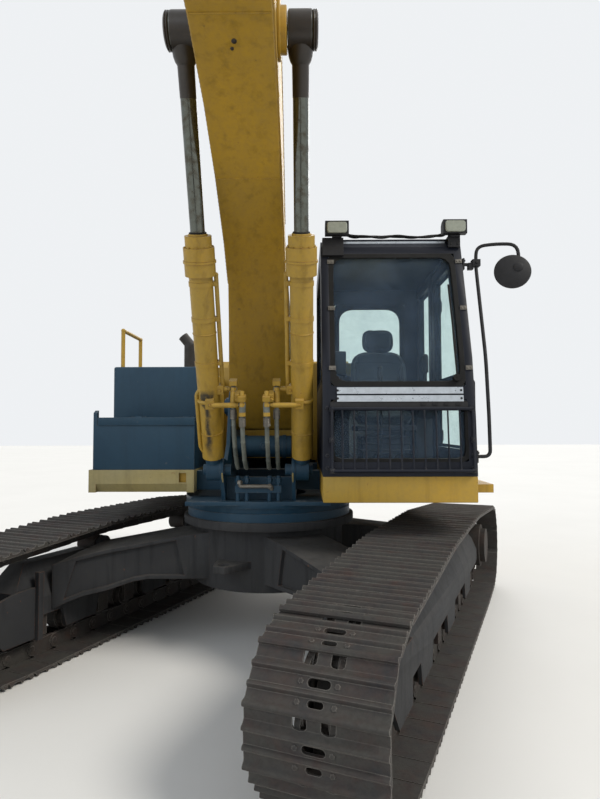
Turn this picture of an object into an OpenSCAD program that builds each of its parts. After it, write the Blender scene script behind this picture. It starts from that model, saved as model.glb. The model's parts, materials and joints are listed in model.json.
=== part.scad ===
/* [Undercarriage] */
// Distance between the middles of the two tracks
track_gauge = 2590; // [2400:10:2900]
// Width of a track shoe
shoe_w = 600; // [500:10:700]
// Number of shoes on one track
shoe_count = 48; // [46:1:50]
// Distance between the idler's and the sprocket's axes
tumbler_span = 3840; // [3700:10:4000]
// Radius of the line of track pins round idler and sprocket
tumbler_r = 310; // [290:1:330]
// Height of the track pins over the ground along the lower run
pin_line_z = 95; // [90:1:105]
// Lift of the idler and sprocket over the lower run
tumbler_lift = 22; // [10:1:40]
// Height of the track pins over the carrier rollers
carrier_line_z = 828; // [780:1:860]
// Distance between the two carrier rollers of a side
carrier_span = 1240; // [1000:10:1500]
// Distance from the pin line to the back of the shoe plate
shoe_back = 58; // [50:1:62]
// Thickness of the shoe plate
shoe_t = 11; // [8:1:14]
// Height of a grouser bar over the shoe plate
grouser_h = 26; // [18:1:30]
// Distance from the pin line to the running face of the links
link_in = 50; // [40:1:54]
// Thickness of one row of links
link_t = 42; // [30:1:46]
// Clear gap between the two rows of links
link_gap = 96; // [84:2:110]
// Tread radius of a track roller
roller_r = 82; // [76:1:90]
// Number of track rollers on a side
roller_count = 9; // [7:1:10]
// Width of a track frame
frame_w = 330; // [280:10:360]
// Angle between the tracks and the upper part as it stands
slew_rest = -22.5; // [-40:0.5:40]
/* [Slew ring] */
// Outer radius of the slew ring
ring_r = 655; // [600:5:700]
// Height of the slew ring's lower face
ring_z = 950; // [930:5:980]
// Height of the slew ring from its lower to its upper face
ring_h = 125; // [110:5:140]
/* [Upper structure] */
// Swing axis to the left as seen from the seat, from the middle of the whole
swing_x = 0; // [-100:1:100]
// Swing axis behind the middle of the whole
swing_y = 1999; // [1500:1:3000]
// Height of the deck that carries the cab
deck_z = 1315; // [1290:5:1350]
// Height of the skirts round the deck
skirt_h = 169; // [150:1:190]
// Thickness of deck and skirt plates
deck_t = 14; // [10:1:20]
// Outer face of the cab side, from the swing axis
cab_side_x = 1410; // [1350:5:1450]
// Outer face of the tank side, from the swing axis
tank_side_x = 1335; // [1300:5:1400]
// Inner face of the tank side's deck, from the swing axis
tank_inner_x = 540; // [500:5:600]
// Front of the tank side's deck, ahead of the swing axis
tank_deck_s = 440; // [400:5:600]
// Front of the counterweight, behind the swing axis
weight_front = 2010; // [1950:5:2100]
// Radius of the counterweight's rear face round the swing axis
tail_r = 2880; // [2750:10:3000]
// Top of the counterweight
weight_top = 2240; // [2100:10:2300]
// Top of the engine housing
housing_top = 2250; // [2200:5:2300]
// Thickness of the housing's walls and doors
panel_t = 40; // [30:1:50]
// Top of the tool box
box_top = 1710; // [1600:10:1750]
// Top of the tanks
tank_top = 2150; // [2050:10:2200]
/* [Cab] */
// Width of the cab
cab_w = 1000; // [960:5:1050]
// Front of the cab's foot, ahead of the swing axis
cab_front = 1063; // [1000:1:1120]
// Back of the cab, behind the swing axis
cab_back = 720; // [650:5:800]
// Height of the cab's roof
cab_top = 2980; // [2900:5:3050]
// Thickness of the cab's walls
cab_t = 55; // [45:1:70]
// Thickness of the window glass
glass_t = 6; // [4:1:10]
/* [Boom] */
// Middle of the boom, from the swing axis
boom_x = -43; // [-80:1:20]
// Boom foot pin ahead of the swing axis
foot_s = 80; // [40:5:140]
// Height of the boom foot pin
foot_z = 1800; // [1750:5:1850]
// Boom foot pin to boom tip pin
boom_len = 5850; // [5700:10:6000]
// Angle of the line from foot pin to tip pin, as it stands
boom_rest = 27; // [20:0.5:35]
// Width of the boom
boom_w = 390; // [360:2:410]
// Width of the boom's foot
boom_foot_w = 470; // [440:2:480]
// Boom cylinder pin along the boom's line
lift_u = 2418; // [2380:2:2450]
// Boom cylinder pin over the boom's line
lift_v = 1001; // [970:2:1030]
// Distance between the two boom cylinders
lift_gap = 636; // [620:2:660]
// Boom cylinder foot pin ahead of the swing axis
lift_foot_s = 620; // [600:2:650]
// Height of the boom cylinder foot pin
lift_foot_z = 1330; // [1310:2:1350]
/* [Arm and bucket] */
// Boom tip pin to bucket pin
arm_len = 2950; // [2800:10:3100]
// Angle of the arm to the level, as it stands
arm_rest = -71; // [-80:0.5:-62]
// Width of the arm
arm_w = 320; // [300:2:340]
// Angle of the bucket from hanging straight, as it stands
bucket_rest = -12; // [-20:0.5:10]
// Width of the bucket
bucket_w = 1180; // [900:10:1300]
// Bucket pin to tooth tips
tip_r = 1500; // [1440:10:1560]
// Number of bucket teeth
tooth_count = 5; // [4:1:6]
/* [Hidden] */
$fn = 48;
// facets of the widest rings
ring_fn = 180;
yellow = [0.80, 0.60, 0.12];
dark = [0.16, 0.17, 0.18];
slate = [0.17, 0.23, 0.28];
dusty = [0.36, 0.32, 0.28];
steel = [0.62, 0.63, 0.64];
// radial clearance of a pin in its bore
fit = 0.05;
// seat clearance between pieces that rest on each other
seat_gap = 0.3;
// running clearance beside moving pieces
run_gap = 7;

// A profile drawn as (ahead, up) becomes a plate of width w about x0.
module side(x0, w) {
    translate([x0 + w / 2, 0, 0]) rotate([90, 0, -90]) linear_extrude(w) children();
}

// A round bar across the machine at (ahead, up).
module across(s, z, r, x0, w) {
    translate([x0 - w / 2, -s, z]) rotate([0, 90, 0]) cylinder(r = r, h = w);
}

// A block from one corner to the other, given as (x, ahead, up).
module block(a, b) {
    translate([min(a[0], b[0]), -max(a[1], b[1]), min(a[2], b[2])])
        cube([abs(a[0] - b[0]), abs(a[1] - b[1]), abs(a[2] - b[2])]);
}

function arc(c, r, a0, a1, n) =
    [for (i = [0 : n]) let (a = a0 + (a1 - a0) * i / n) [c[0] + r * cos(a), c[1] + r * sin(a)]];
function turned(p, a) = [p[0] * cos(a) - p[1] * sin(a), p[0] * sin(a) + p[1] * cos(a)];
function angle_of(p) = atan2(p[1], p[0]);

module house() { translate([swing_x, swing_y, 0]) children(); }
module under() { translate([swing_x, swing_y, 0]) rotate(slew_rest) children(); }

// Track loop: wheels as [ahead, up, radius of the pin line], taken counterclockwise.
function tumbler_z() = pin_line_z + tumbler_lift + tumbler_r;
end_roller_s = 1420;
belt_r = 130;
belt = [
    [-end_roller_s, pin_line_z + belt_r, belt_r],
    [end_roller_s, pin_line_z + belt_r, belt_r],
    [tumbler_span / 2, tumbler_z(), tumbler_r],
    [carrier_span / 2, carrier_line_z - belt_r, belt_r],
    [-carrier_span / 2, carrier_line_z - belt_r, belt_r],
    [-tumbler_span / 2, tumbler_z(), tumbler_r]
];
belt_n = len(belt);
function belt_at(i) = belt[(i + belt_n) % belt_n];
function belt_c(i) = [belt_at(i)[0], belt_at(i)[1]];
// Direction of the outward normal of the straight run from wheel i to the next.
function run_normal(i) = let (d = belt_c(i + 1) - belt_c(i))
    angle_of(d) - acos((belt_at(i)[2] - belt_at(i + 1)[2]) / norm(d));
function wrap(a) = a < 0 ? a + 360 : a;
function arc_turn(i) = wrap(run_normal(i) - run_normal(i - 1));
function arc_len(i) = belt_at(i)[2] * arc_turn(i) * PI / 180;
function run_len(i) = let (d = norm(belt_c(i + 1) - belt_c(i)), k = belt_at(i)[2] - belt_at(i + 1)[2])
    sqrt(d * d - k * k);
lens = [for (i = [0 : belt_n - 1]) [arc_len(i), run_len(i)]];
function sum_to(i) = i <= 0 ? 0 : sum_to(i - 1) + lens[i - 1][0] + lens[i - 1][1];
loop_len = sum_to(belt_n);
// A point at height h outside the pin line, at distance t along the loop from wheel i on.
function on_belt(t, h, i = 0) =
    t > lens[i][0] + lens[i][1] ? on_belt(t - lens[i][0] - lens[i][1], h, i + 1)
    : t <= lens[i][0] ?
        let (a = run_normal(i - 1) + t / belt_at(i)[2] * 180 / PI)
        belt_c(i) + (belt_at(i)[2] + h) * [cos(a), sin(a)]
    : let (a = run_normal(i))
        belt_c(i) + (belt_at(i)[2] + h) * [cos(a), sin(a)] + (t - lens[i][0]) * [-sin(a), cos(a)];
pitch = loop_len / shoe_count;
function joint_at(k, h) = let (t = (k + 0.5) * pitch) on_belt(t >= loop_len ? t - loop_len : t, h);
// A point of shoe k, x along the shoe from its middle and y outward from the pin line.
function on_shoe(k, x, y) =
    let (p = joint_at(k, 0), q = joint_at((k + 1) % shoe_count, 0), d = (q - p) / norm(q - p))
    (p + q) / 2 + x * d + y * [d[1], -d[0]];
// Grouser bars of a shoe: middle along the shoe, half width at the foot, half width at the top
grousers = [[-74, 13, 6], [0, 12, 5], [72, 12, 5]];
face = shoe_back + shoe_t;
function shoe_outline(k) = concat(
    [on_shoe(k, -pitch / 2 + 4, face)],
    [for (g = grousers, e = [[-g[1], 0], [-g[2] / 2, grouser_h], [g[1], 0]])
        on_shoe(k, g[0] + e[0], face + e[1])],
    [on_shoe(k, pitch / 2 - 8, face - 2)]);
outer_loop = [for (k = [0 : shoe_count - 1]) each shoe_outline(k)];
function joints_loop(h) = [for (k = [0 : shoe_count - 1]) joint_at(k, h)];
function reverse(l) = [for (i = [len(l) - 1 : -1 : 0]) l[i]];
// Least distance from the wheel's axis to the links' running face round a tumbler.
tread_r = tumbler_r * cos(pitch / tumbler_r * 90 / PI) - link_in - seat_gap;

module ring_of(outer, inner) {
    polygon(concat(outer, inner), paths = [
        [for (i = [0 : len(outer) - 1]) i],
        [for (i = [0 : len(inner) - 1]) len(outer) + i]]);
}

module track(side_sign) {
    u = side_sign * track_gauge / 2;
    color(dusty) under() {
        side(u, shoe_w) ring_of(outer_loop, joints_loop(shoe_back));
        for (e = [-1, 1])
            side(u + e * (link_gap + link_t) / 2, link_t)
                ring_of(joints_loop(shoe_back + 0.5), joints_loop(-link_in));
    }
}

module idler(side_sign) {
    u = side_sign * track_gauge / 2;
    s = tumbler_span / 2;
    color(dusty) under() difference() {
        union() {
            across(s, tumbler_z(), tread_r, u, link_gap + 2 * link_t + 10);
            across(s, tumbler_z(), tread_r + 34, u, link_gap - 16);
            across(s, tumbler_z(), 75, u, yoke_in * 2 - 6);
        }
        for (e = [-1, 1])
            translate([u + e * (link_gap / 2 + link_t + 5), -s, tumbler_z()]) rotate([0, e * 90, 0])
                translate([0, 0, -52]) rotate_extrude()
                    polygon([[80, 60], [80, 0], [tread_r - 45, 30], [tread_r - 28, 60]]);
        across(s, tumbler_z(), idler_shaft_r + fit, u, 600);
    }
}
// half distance between the idler's two yoke arms
yoke_in = 128;
idler_shaft_r = 38;

tooth_n = 19;
module sprocket(side_sign) {
    u = side_sign * track_gauge / 2;
    s = -tumbler_span / 2;
    root_r = tumbler_r - link_in + 6;
    tip = tumbler_r + 12;
    step = 360 / tooth_n;
    teeth = [for (k = [0 : tooth_n - 1], e = [[-0.36, 0], [-0.13, 1], [0.13, 1], [0.36, 0]])
        let (a = (k + e[0]) * step, r = e[1] == 0 ? root_r : tip) r * [cos(a), sin(a)]];
    out = side_sign;
    color(dusty) under() union() {
        side(u, link_gap - 22) translate([s, tumbler_z()]) polygon(teeth);
        across(s, tumbler_z(), tread_r - 10, u, link_gap + 40);
        across(s, tumbler_z(), 205, u + out * 75, 190);
        across(s, tumbler_z(), 165, u + out * 120, 200);
        across(s, tumbler_z(), 215, u - out * (frame_w / 2 - 40), frame_w / 2 + 90);
    }
}

// Side view of a track frame's box, front to the right: its ends, floor, waist and ridges
frame_top = 600;
frame_low = 334;
frame_ridge = 690;
ridge_half = 60;
frame_front = tumbler_span / 2 - 440;
frame_back = tumbler_span / 2 - 345;
ridge_start = carrier_span / 2 + 110;
module frame_profile() {
    polygon([
        [-frame_back, frame_low + 20], [-frame_back + 75, frame_low], [frame_front - 40, frame_low],
        [frame_front, frame_low + 30], [frame_front, 520], [frame_front - 130, frame_ridge],
        [ridge_start, frame_ridge], [ridge_start - 30, frame_top], [-ridge_start + 30, frame_top],
        [-ridge_start, frame_ridge], [-frame_back + 225, frame_ridge], [-frame_back, 560]]);
}

module track_frame(side_sign) {
    u = side_sign * track_gauge / 2;
    z0 = tumbler_z();
    s = tumbler_span / 2;
    drive_in = 215 + 18;
    color(dusty) under() difference() {
        union() {
            intersection() {
                side(u, frame_w) frame_profile();
                translate([u, 0, 0]) rotate([90, 0, 0]) linear_extrude(6000, center = true)
                    polygon([[-frame_w / 2, 0], [frame_w / 2, 0], [frame_w / 2, 450],
                        [ridge_half, frame_ridge + 1], [-ridge_half, frame_ridge + 1], [-frame_w / 2, 450]]);
            }
            // yoke arms that hold the idler's shaft
            for (e = [-1, 1])
                side(u + e * (yoke_in + 17), 34) polygon([
                    [frame_front - 180, frame_low + 6], [s - 60, z0 - 95], [s + 70, z0 - 85], [s + 105, z0],
                    [s + 70, z0 + 85], [s - 60, z0 + 95], [frame_front - 180, 480]]);
            across(s, z0, idler_shaft_r, u, 2 * yoke_in + 80);
            // mount plate of the final drive
            side(u - side_sign * (frame_w / 2 - 15), 30) polygon(concat(
                [[-frame_back + 75, 560], [-frame_back + 75, 320]],
                arc([-s, z0], drive_in + 20, 290, 70, 12)));
            // carrier roller brackets
            for (e = [-1, 1])
                side(u - side_sign * 118, 36) polygon(concat(
                    [[e * carrier_span / 2 - 85, 520], [e * carrier_span / 2 + 85, 520]],
                    arc([e * carrier_span / 2, carrier_z], 70, 0, 180, 10)));
            // roller guards under the frame
            for (g = [-900, 0, 900], e = [-1, 1])
                side(u + e * (frame_w / 2 - 12), 24) polygon([
                    [g - 190, frame_low + 5], [g + 190, frame_low + 5],
                    [g + 150, guard_low], [g - 150, guard_low]]);
            // guards beside the idler's slide, with an upright on the inner one
            for (e = [-1, 1])
                side(u + e * (frame_w / 2 - 12), 24) polygon([
                    [frame_front - 180, 540], [frame_front - 180, guard_low], [frame_front + 110, guard_low],
                    [frame_front + 220, frame_low - 4], [frame_front + 220, 500], [frame_front, 540]]);
            block([u - side_sign * (frame_w / 2 - 4), frame_front - 140, guard_low - 12],
                [u - side_sign * (frame_w / 2 + 32), frame_front - 184, 644]);
        }
        across(-s, z0, 215 + seat_gap, u, 700);
        for (e = [-1, 1]) across(e * carrier_span / 2, carrier_z, carrier_shaft_r + fit, u, 400);
    }
}
// Lower edge of the guards under a track frame
guard_low = 196;
carrier_shaft_r = 34;
carrier_r = 72;
carrier_z = carrier_line_z - link_in - carrier_r - 5;
roller_z = pin_line_z + link_in + seat_gap + roller_r;

module track_rollers() {
    reach = end_roller_s - 0.8 * pitch;
    step = 2 * reach / (roller_count - 1);
    color(dusty) under() for (e = [-1, 1], k = [0 : roller_count - 1]) {
        u = e * track_gauge / 2;
        s = -reach + k * step;
        across(s, roller_z, roller_r, u, link_gap + 2 * link_t);
        across(s, roller_z, roller_r + 17, u, link_gap - 20);
        across(s, roller_z, 40, u, frame_w - 64);
        for (d = [-1, 1])
            block([u + d * (frame_w / 2 - 32), s + 55, roller_z - 40],
                [u + d * (frame_w / 2 - 62), s - 55, frame_low - seat_gap]);
    }
}

module carrier_rollers() {
    color(dusty) under() for (e = [-1, 1], k = [-1, 1]) {
        u = e * track_gauge / 2;
        across(k * carrier_span / 2, carrier_z, carrier_r, u, link_gap + 2 * link_t - 10);
        across(k * carrier_span / 2, carrier_z, carrier_shaft_r, u - e * 30, 230);
    }
}

// Legs of the centre frame: side of the machine, front or back
legs = [[1, 1], [1, -1], [-1, 1], [-1, -1]];
leg_w = 430;
// Upper and lower edge of a leg: distance along it and height
leg_over = [[1400, 600], [1240, 645], [1020, 708], [820, 750], [640, 776], [320, 822], [0, 852]];
leg_under = [[0, 497], [260, 509], [510, 524], [620, 513], [810, 460], [970, 430], [1100, 385], [1220, 332],
    [1400, 326]];
// Recess between a leg's flanges
flange_t = 28;
flange_out = 30;
leg_recess = concat(
    [for (p = leg_under) if (p[0] > 200 && p[0] < 1150) p + [0, flange_t]],
    [for (p = leg_over) if (p[0] > 200 && p[0] < 1150) p - [0, flange_t]]);
// Underside of the hub, thickness of its floor and radius of the hole in it
hub_low = 440;
hub_floor_t = 30;
hub_hole_r = 210;
// Tow lugs: place of the bore, thickness and bore radius
lug_s = 740;
lug_z = 640;
lug_t = 50;
lug_bore_r = 38;
module at_leg(l) {
    translate([l[0] * 300, -l[1] * 330, 0]) mirror([l[0] < 0 ? 1 : 0, 0, 0])
        rotate(-l[1] * 36) rotate([90, 0, 0]) children();
}
module center_frame() {
    reach = track_gauge / 2 - frame_w / 2;
    hub_r = ring_r - 60;
    color(dusty) under() difference() {
        union() {
            translate([0, 0, ring_z - 60 - seat_gap]) cylinder(r = ring_r + 30, h = 60, $fn = ring_fn);
            translate([0, 0, hub_low]) cylinder(r = hub_r, h = ring_z - 50 - hub_low, $fn = ring_fn);
            intersection() {
                for (l = legs) at_leg(l) difference() {
                    linear_extrude(leg_w, center = true) polygon(concat(leg_under, leg_over));
                    for (e = [-1, 1]) translate([0, 0, e * leg_w / 2])
                        linear_extrude(2 * flange_out, center = true) polygon(leg_recess);
                }
                translate([-reach, -2000, 0]) cube([2 * reach, 4000, ring_z]);
            }
            // lugs for shackles, in front and behind
            for (e = [0, 1]) mirror([0, e, 0]) translate([0, 0, lug_z - lug_t / 2])
                linear_extrude(lug_t) polygon([
                    [-150, hub_r - 60], [150, hub_r - 60], [80, lug_s], [45, lug_s + 65],
                    [-45, lug_s + 65], [-80, lug_s]]);
        }
        for (e = [-1, 1]) translate([0, e * lug_s, lug_z - lug_t]) cylinder(r = lug_bore_r, h = 2 * lug_t);
        translate([0, 0, hub_low + hub_floor_t]) cylinder(r = ring_r - 190, h = ring_z, $fn = ring_fn);
        translate([0, 0, hub_low - 10]) cylinder(r = hub_hole_r, h = 100);
    }
}

module slew_ring() {
    color(steel) under() difference() {
        translate([0, 0, ring_z]) cylinder(r = ring_r, h = ring_h / 2 - seat_gap, $fn = ring_fn);
        translate([0, 0, ring_z - 10]) cylinder(r = ring_r - 120, h = ring_h, $fn = ring_fn);
    }
}

// Plane on which frame, decks and housing meet the counterweight
weight_seat = weight_front - seat_gap;
// Main plates of the upper frame, seen from the side
plate_t = 28;
plate_in = boom_foot_w / 2 + run_gap;
floor_z = ring_z + ring_h;
pin_r = 48;
lift_pin_r = 40;
lift_eye_w = 88;
lift_x = lift_gap / 2;
beam_z = deck_z - skirt_h + 10;
beam_top = deck_z - deck_t - 2;
module revolving_frame() {
    color(slate) house() {
        difference() {
            for (e = [-1, 1])
                side(boom_x + e * (plate_in + plate_t / 2), plate_t) polygon(concat(
                    [[-weight_seat, floor_z], [-weight_seat, deck_z - 40]],
                    [[-1150, deck_z - 40], [-700, 1480]],
                    arc([foot_s, foot_z], 135, 150, 30, 8),
                    [[330, 1500], [480, 1385]],
                    arc([lift_foot_s, lift_foot_z], 85, 75, -60, 6),
                    [[560, floor_z]]));
            across(foot_s, foot_z, pin_r + fit, boom_x, 900);
            across(lift_foot_s, lift_foot_z, lift_pin_r + fit, boom_x, 900);
        }
        // pins of the boom's foot and of the boom cylinders
        across(foot_s, foot_z, pin_r, boom_x, 2 * (plate_in + plate_t) + 60);
        for (e = [-1, 1]) {
            across(foot_s, foot_z, pin_r + 26, boom_x + e * (plate_in + plate_t + 15), 30);
            across(lift_foot_s, lift_foot_z, lift_pin_r, boom_x + e * (lift_x - 25), lift_eye_w + 110);
        }
        // floor over the slew ring, and the ring's upper race
        difference() {
            union() {
                translate([0, 0, floor_z - 22]) cylinder(r = ring_r + 15, h = 50, $fn = ring_fn);
                block([boom_x - 520, 660, floor_z], [boom_x + 520, -weight_seat, floor_z + 28]);
                translate([0, 0, ring_z + ring_h / 2])
                    cylinder(r = ring_r - 6, h = ring_h / 2, $fn = ring_fn);
            }
            translate([0, 0, ring_z]) cylinder(r = 300, h = 300);
        }
        // cross members between and beside the main plates
        for (s = [[500, 420], [-300, -420], [-1900, -1990]])
            block([boom_x - plate_in - 3, s[0], floor_z + 20], [boom_x + plate_in + 3, s[1], floor_z + 190]);
        for (s = [[330, 190], [-560, -700], [-1560, -1700]]) {
            block([boom_x + plate_in + plate_t - 3, s[0], beam_z], [cab_side_x - cab_w - 3, s[1], beam_top]);
            block([boom_x - plate_in - plate_t + 3, s[0], beam_z], [-tank_inner_x, s[1], beam_top]);
        }
    }
}

// A deck: a top plate with skirts all round, open below.
module deck(x_in, x_out, s_front, s_back) {
    difference() {
        block([x_in, s_front, deck_z - skirt_h], [x_out, s_back, deck_z]);
        block([x_in + sign(x_out - x_in) * deck_t, s_front - deck_t, deck_z - skirt_h - 10],
            [x_out - sign(x_out - x_in) * deck_t, s_back + deck_t, deck_z - deck_t]);
    }
}
module cab_deck() {
    color(yellow) house() deck(cab_side_x - cab_w, cab_side_x, cab_front, -weight_seat);
}
// Sloped lower lip of the tank side's front skirt, between its two uprights
lip_h = 66;
lip_in = 45;
lip_x = [-tank_inner_x - 54, -tank_side_x + 52];
module tank_deck() {
    foot = deck_z - skirt_h;
    back_s = tank_deck_s - deck_t - lip_in - 6;
    color(yellow) house() {
        difference() {
            deck(-tank_inner_x, -tank_side_x, tank_deck_s, -weight_seat);
            block([lip_x[0], tank_deck_s + 1, foot - 1], [lip_x[1], tank_deck_s - deck_t - 1, foot + lip_h]);
            block([lip_x[0] - 6, tank_deck_s + 1, foot + lip_h + 8],
                [lip_x[0] - 60, tank_deck_s - deck_t - 1, deck_z - 24]);
        }
        side((lip_x[0] + lip_x[1]) / 2, lip_x[0] - lip_x[1] + 4) polygon([
            [tank_deck_s, foot + lip_h - 1], [tank_deck_s, foot + lip_h + 4],
            [tank_deck_s - deck_t, foot + lip_h + 4], [tank_deck_s - deck_t, foot + lip_h - 4],
            [tank_deck_s - deck_t - lip_in, foot], [tank_deck_s - lip_in, foot]]);
        for (x = lip_x)
            side(x, 8) polygon([
                [tank_deck_s - 1, foot + 0.5], [tank_deck_s - 1, foot + lip_h + 6],
                [back_s, foot + lip_h + 6], [back_s, foot + 0.5]]);
    }
}
module side_step() {
    top = deck_z - 60;
    w = 130;
    color(yellow) house() difference() {
        block([cab_side_x, 960, top - 55], [cab_side_x + w, 330, top]);
        block([cab_side_x + 10, 950, top - 70], [cab_side_x + w - 10, 340, top - 6]);
        for (s = [380 : 44 : 920])
            block([cab_side_x + 18, s, top - 20], [cab_side_x + w - 18, s + 18, top + 5]);
    }
}

// Holes for lifting eyes in the counterweight's top
lift_hole_x = 600;
lift_hole_s = 2350;
lift_hole_r = 20;
module counterweight() {
    low = deck_z - skirt_h + 15;
    color(yellow) house() intersection() {
        difference() {
            translate([0, 0, low]) cylinder(r = tail_r, h = weight_top - low, $fn = ring_fn);
            translate([0, 0, weight_top - 60]) rotate_extrude()
                polygon([[tail_r - 90, 70], [tail_r + 10, -90], [tail_r + 10, 70]]);
            for (e = [-1, 1]) translate([e * lift_hole_x, lift_hole_s, weight_top - 90])
                cylinder(r = lift_hole_r, h = 100);
        }
        union() {
            block([-tank_side_x + 60, -weight_front, low], [cab_side_x - 60, -3000, weight_top]);
            block([-tank_side_x, -weight_front, low + 60], [cab_side_x, -3000, weight_top - 60]);
        }
        side(0, 4000) polygon([
            [-weight_front, low], [-weight_front, weight_top], [-3000, weight_top],
            [-3000, low + 420], [-2600, low]]);
    }
}

bay_front = 1230;
bay_back = weight_seat;
engine_s = [-1330, -1900];
module engine_block() {
    color(dark) house() block([10 - tank_inner_x, engine_s[0], beam_top + seat_gap],
        [tank_inner_x - 150, engine_s[1], housing_top - 230]);
}

hood_x = [-640, 820];
hood_s = [-1290, -1935];
door_left_s = [-960, -1900];
door_right_s = [-1330, -1900];
door_low = deck_z + 60;
door_top = housing_top - 90;
module bay_plan() {
    polygon([[cab_side_x, -820], [cab_side_x, -bay_back], [-tank_side_x, -bay_back],
        [-tank_side_x, -bay_front], [360, -bay_front], [360, -820]]);
}
module bay_hollow() {
    polygon([[cab_side_x - panel_t, -820 - panel_t], [cab_side_x - panel_t, -bay_back + panel_t],
        [-tank_side_x + panel_t, -bay_back + panel_t], [-tank_side_x + panel_t, -bay_front - panel_t],
        [360 + panel_t, -bay_front - panel_t], [360 + panel_t, -820 - panel_t]]);
}
module engine_housing() {
    color(yellow) house() difference() {
        mirror([0, 1, 0]) difference() {
            translate([0, 0, deck_z]) linear_extrude(housing_top - deck_z) bay_plan();
            translate([0, 0, deck_z - 10]) linear_extrude(housing_top - deck_z - panel_t + 10) bay_hollow();
        }
        block([hood_x[0], hood_s[0], housing_top - 100], [hood_x[1], hood_s[1], housing_top + 10]);
        block([cab_side_x - 100, door_left_s[0], door_low], [cab_side_x + 10, door_left_s[1], door_top]);
        block([-tank_side_x + 100, door_right_s[0], door_low],
            [-tank_side_x - 10, door_right_s[1], door_top]);
    }
    color(yellow) house() housing_hinges();
}

// Hinge of a door or lid: a pin of length l along Z, with its lug, or the knuckle that turns on it.
hinge_r = 14;
hinge_pin_r = 8;
module hinge_pin(l) {
    translate([0, 0, -l / 2]) cylinder(r = hinge_pin_r, h = l);
}
module knuckle(l) {
    difference() {
        translate([0, 0, -l / 2]) cylinder(r = hinge_r, h = l);
        translate([0, 0, -l]) cylinder(r = hinge_pin_r + fit, h = 2 * l);
    }
}

// A flat door leaf in the plane of a side wall, with a frame-deep edge and pressed louvres.
module bay_door(x_out, dir, s) {
    gap = 6;
    front = s[0] - gap;
    back = s[1] + gap;
    difference() {
        block([x_out, front, door_low + gap], [x_out - dir * panel_t, back, door_top - gap]);
        for (k = [0 : 7])
            block([x_out - dir * 8, front - 120, door_top - 330 + k * 30],
                [x_out + dir * 10, back + 140, door_top - 318 + k * 30]);
    }
}
door_pin_x = 22;
module left_side_door() {
    color(yellow) house() {
        bay_door(cab_side_x, 1, door_left_s);
        door_knuckles(1, door_left_s[1]);
    }
}
module right_side_door() {
    color(yellow) house() {
        bay_door(-tank_side_x, -1, door_right_s);
        door_knuckles(-1, door_right_s[1]);
    }
}
function side_x(dir) = dir > 0 ? cab_side_x : -tank_side_x;
hinge_zs = [door_low + 160, door_top - 160];
module door_knuckles(dir, s) {
    for (z = hinge_zs) {
        translate([side_x(dir) + dir * door_pin_x, -s, z]) knuckle(60);
        block([side_x(dir) - dir * 1, s + 70, z - 30],
            [side_x(dir) + dir * (door_pin_x - hinge_pin_r - 2), s + 9, z + 30]);
    }
}
module door_pins(dir, s) {
    for (z = hinge_zs) {
        translate([side_x(dir) + dir * door_pin_x, -s, z - 22]) hinge_pin(108);
        translate([side_x(dir) + dir * door_pin_x, -s, z - 56]) cylinder(r = hinge_r, h = 24);
        block([side_x(dir) - dir * 1, s, z - 56], [side_x(dir) + dir * door_pin_x, s - 60, z - 32]);
    }
}
hood_pin_z = housing_top + 20;
hood_pin_s = hood_s[0] + 4;
hood_knuckles = [hood_x[0] + 200, hood_x[1] - 200];
module engine_hood() {
    gap = 6;
    color(yellow) house() difference() {
        union() {
            block([hood_x[0] + gap, hood_s[0] - gap, housing_top - panel_t],
                [hood_x[1] - gap, hood_s[1] + gap, housing_top + 8]);
            side((hood_x[0] + hood_x[1]) / 2, hood_x[1] - hood_x[0] - 120) polygon([
                [hood_s[0] - 50, housing_top], [hood_s[0] - 110, housing_top + 80],
                [hood_s[1] + 110, housing_top + 80], [hood_s[1] + 50, housing_top]]);
            for (x = hood_knuckles) {
                across(hood_pin_s, hood_pin_z, hinge_r, x, 80);
                block([x - 40, hood_pin_s, hood_pin_z - 4], [x + 40, hood_pin_s - 40, hood_pin_z - 13]);
            }
        }
        for (x = hood_knuckles) across(hood_pin_s, hood_pin_z, hinge_pin_r + fit, x, 120);
        for (k = [0 : 5])
            block([hood_x[0] + 240, hood_s[0] - 180 - k * 50, housing_top + 70],
                [hood_x[1] - 240, hood_s[0] - 200 - k * 50, housing_top + 90]);
    }
}
module housing_hinges() {
    door_pins(1, door_left_s[1]);
    door_pins(-1, door_right_s[1]);
    for (x = hood_knuckles) {
        across(hood_pin_s, hood_pin_z, hinge_pin_r, x, 140);
        for (e = [-1, 1])
            block([x + e * 44, hood_pin_s + 16, housing_top - 1],
                [x + e * 68, hood_pin_s - 3, hood_pin_z + 12]);
    }
}

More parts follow.
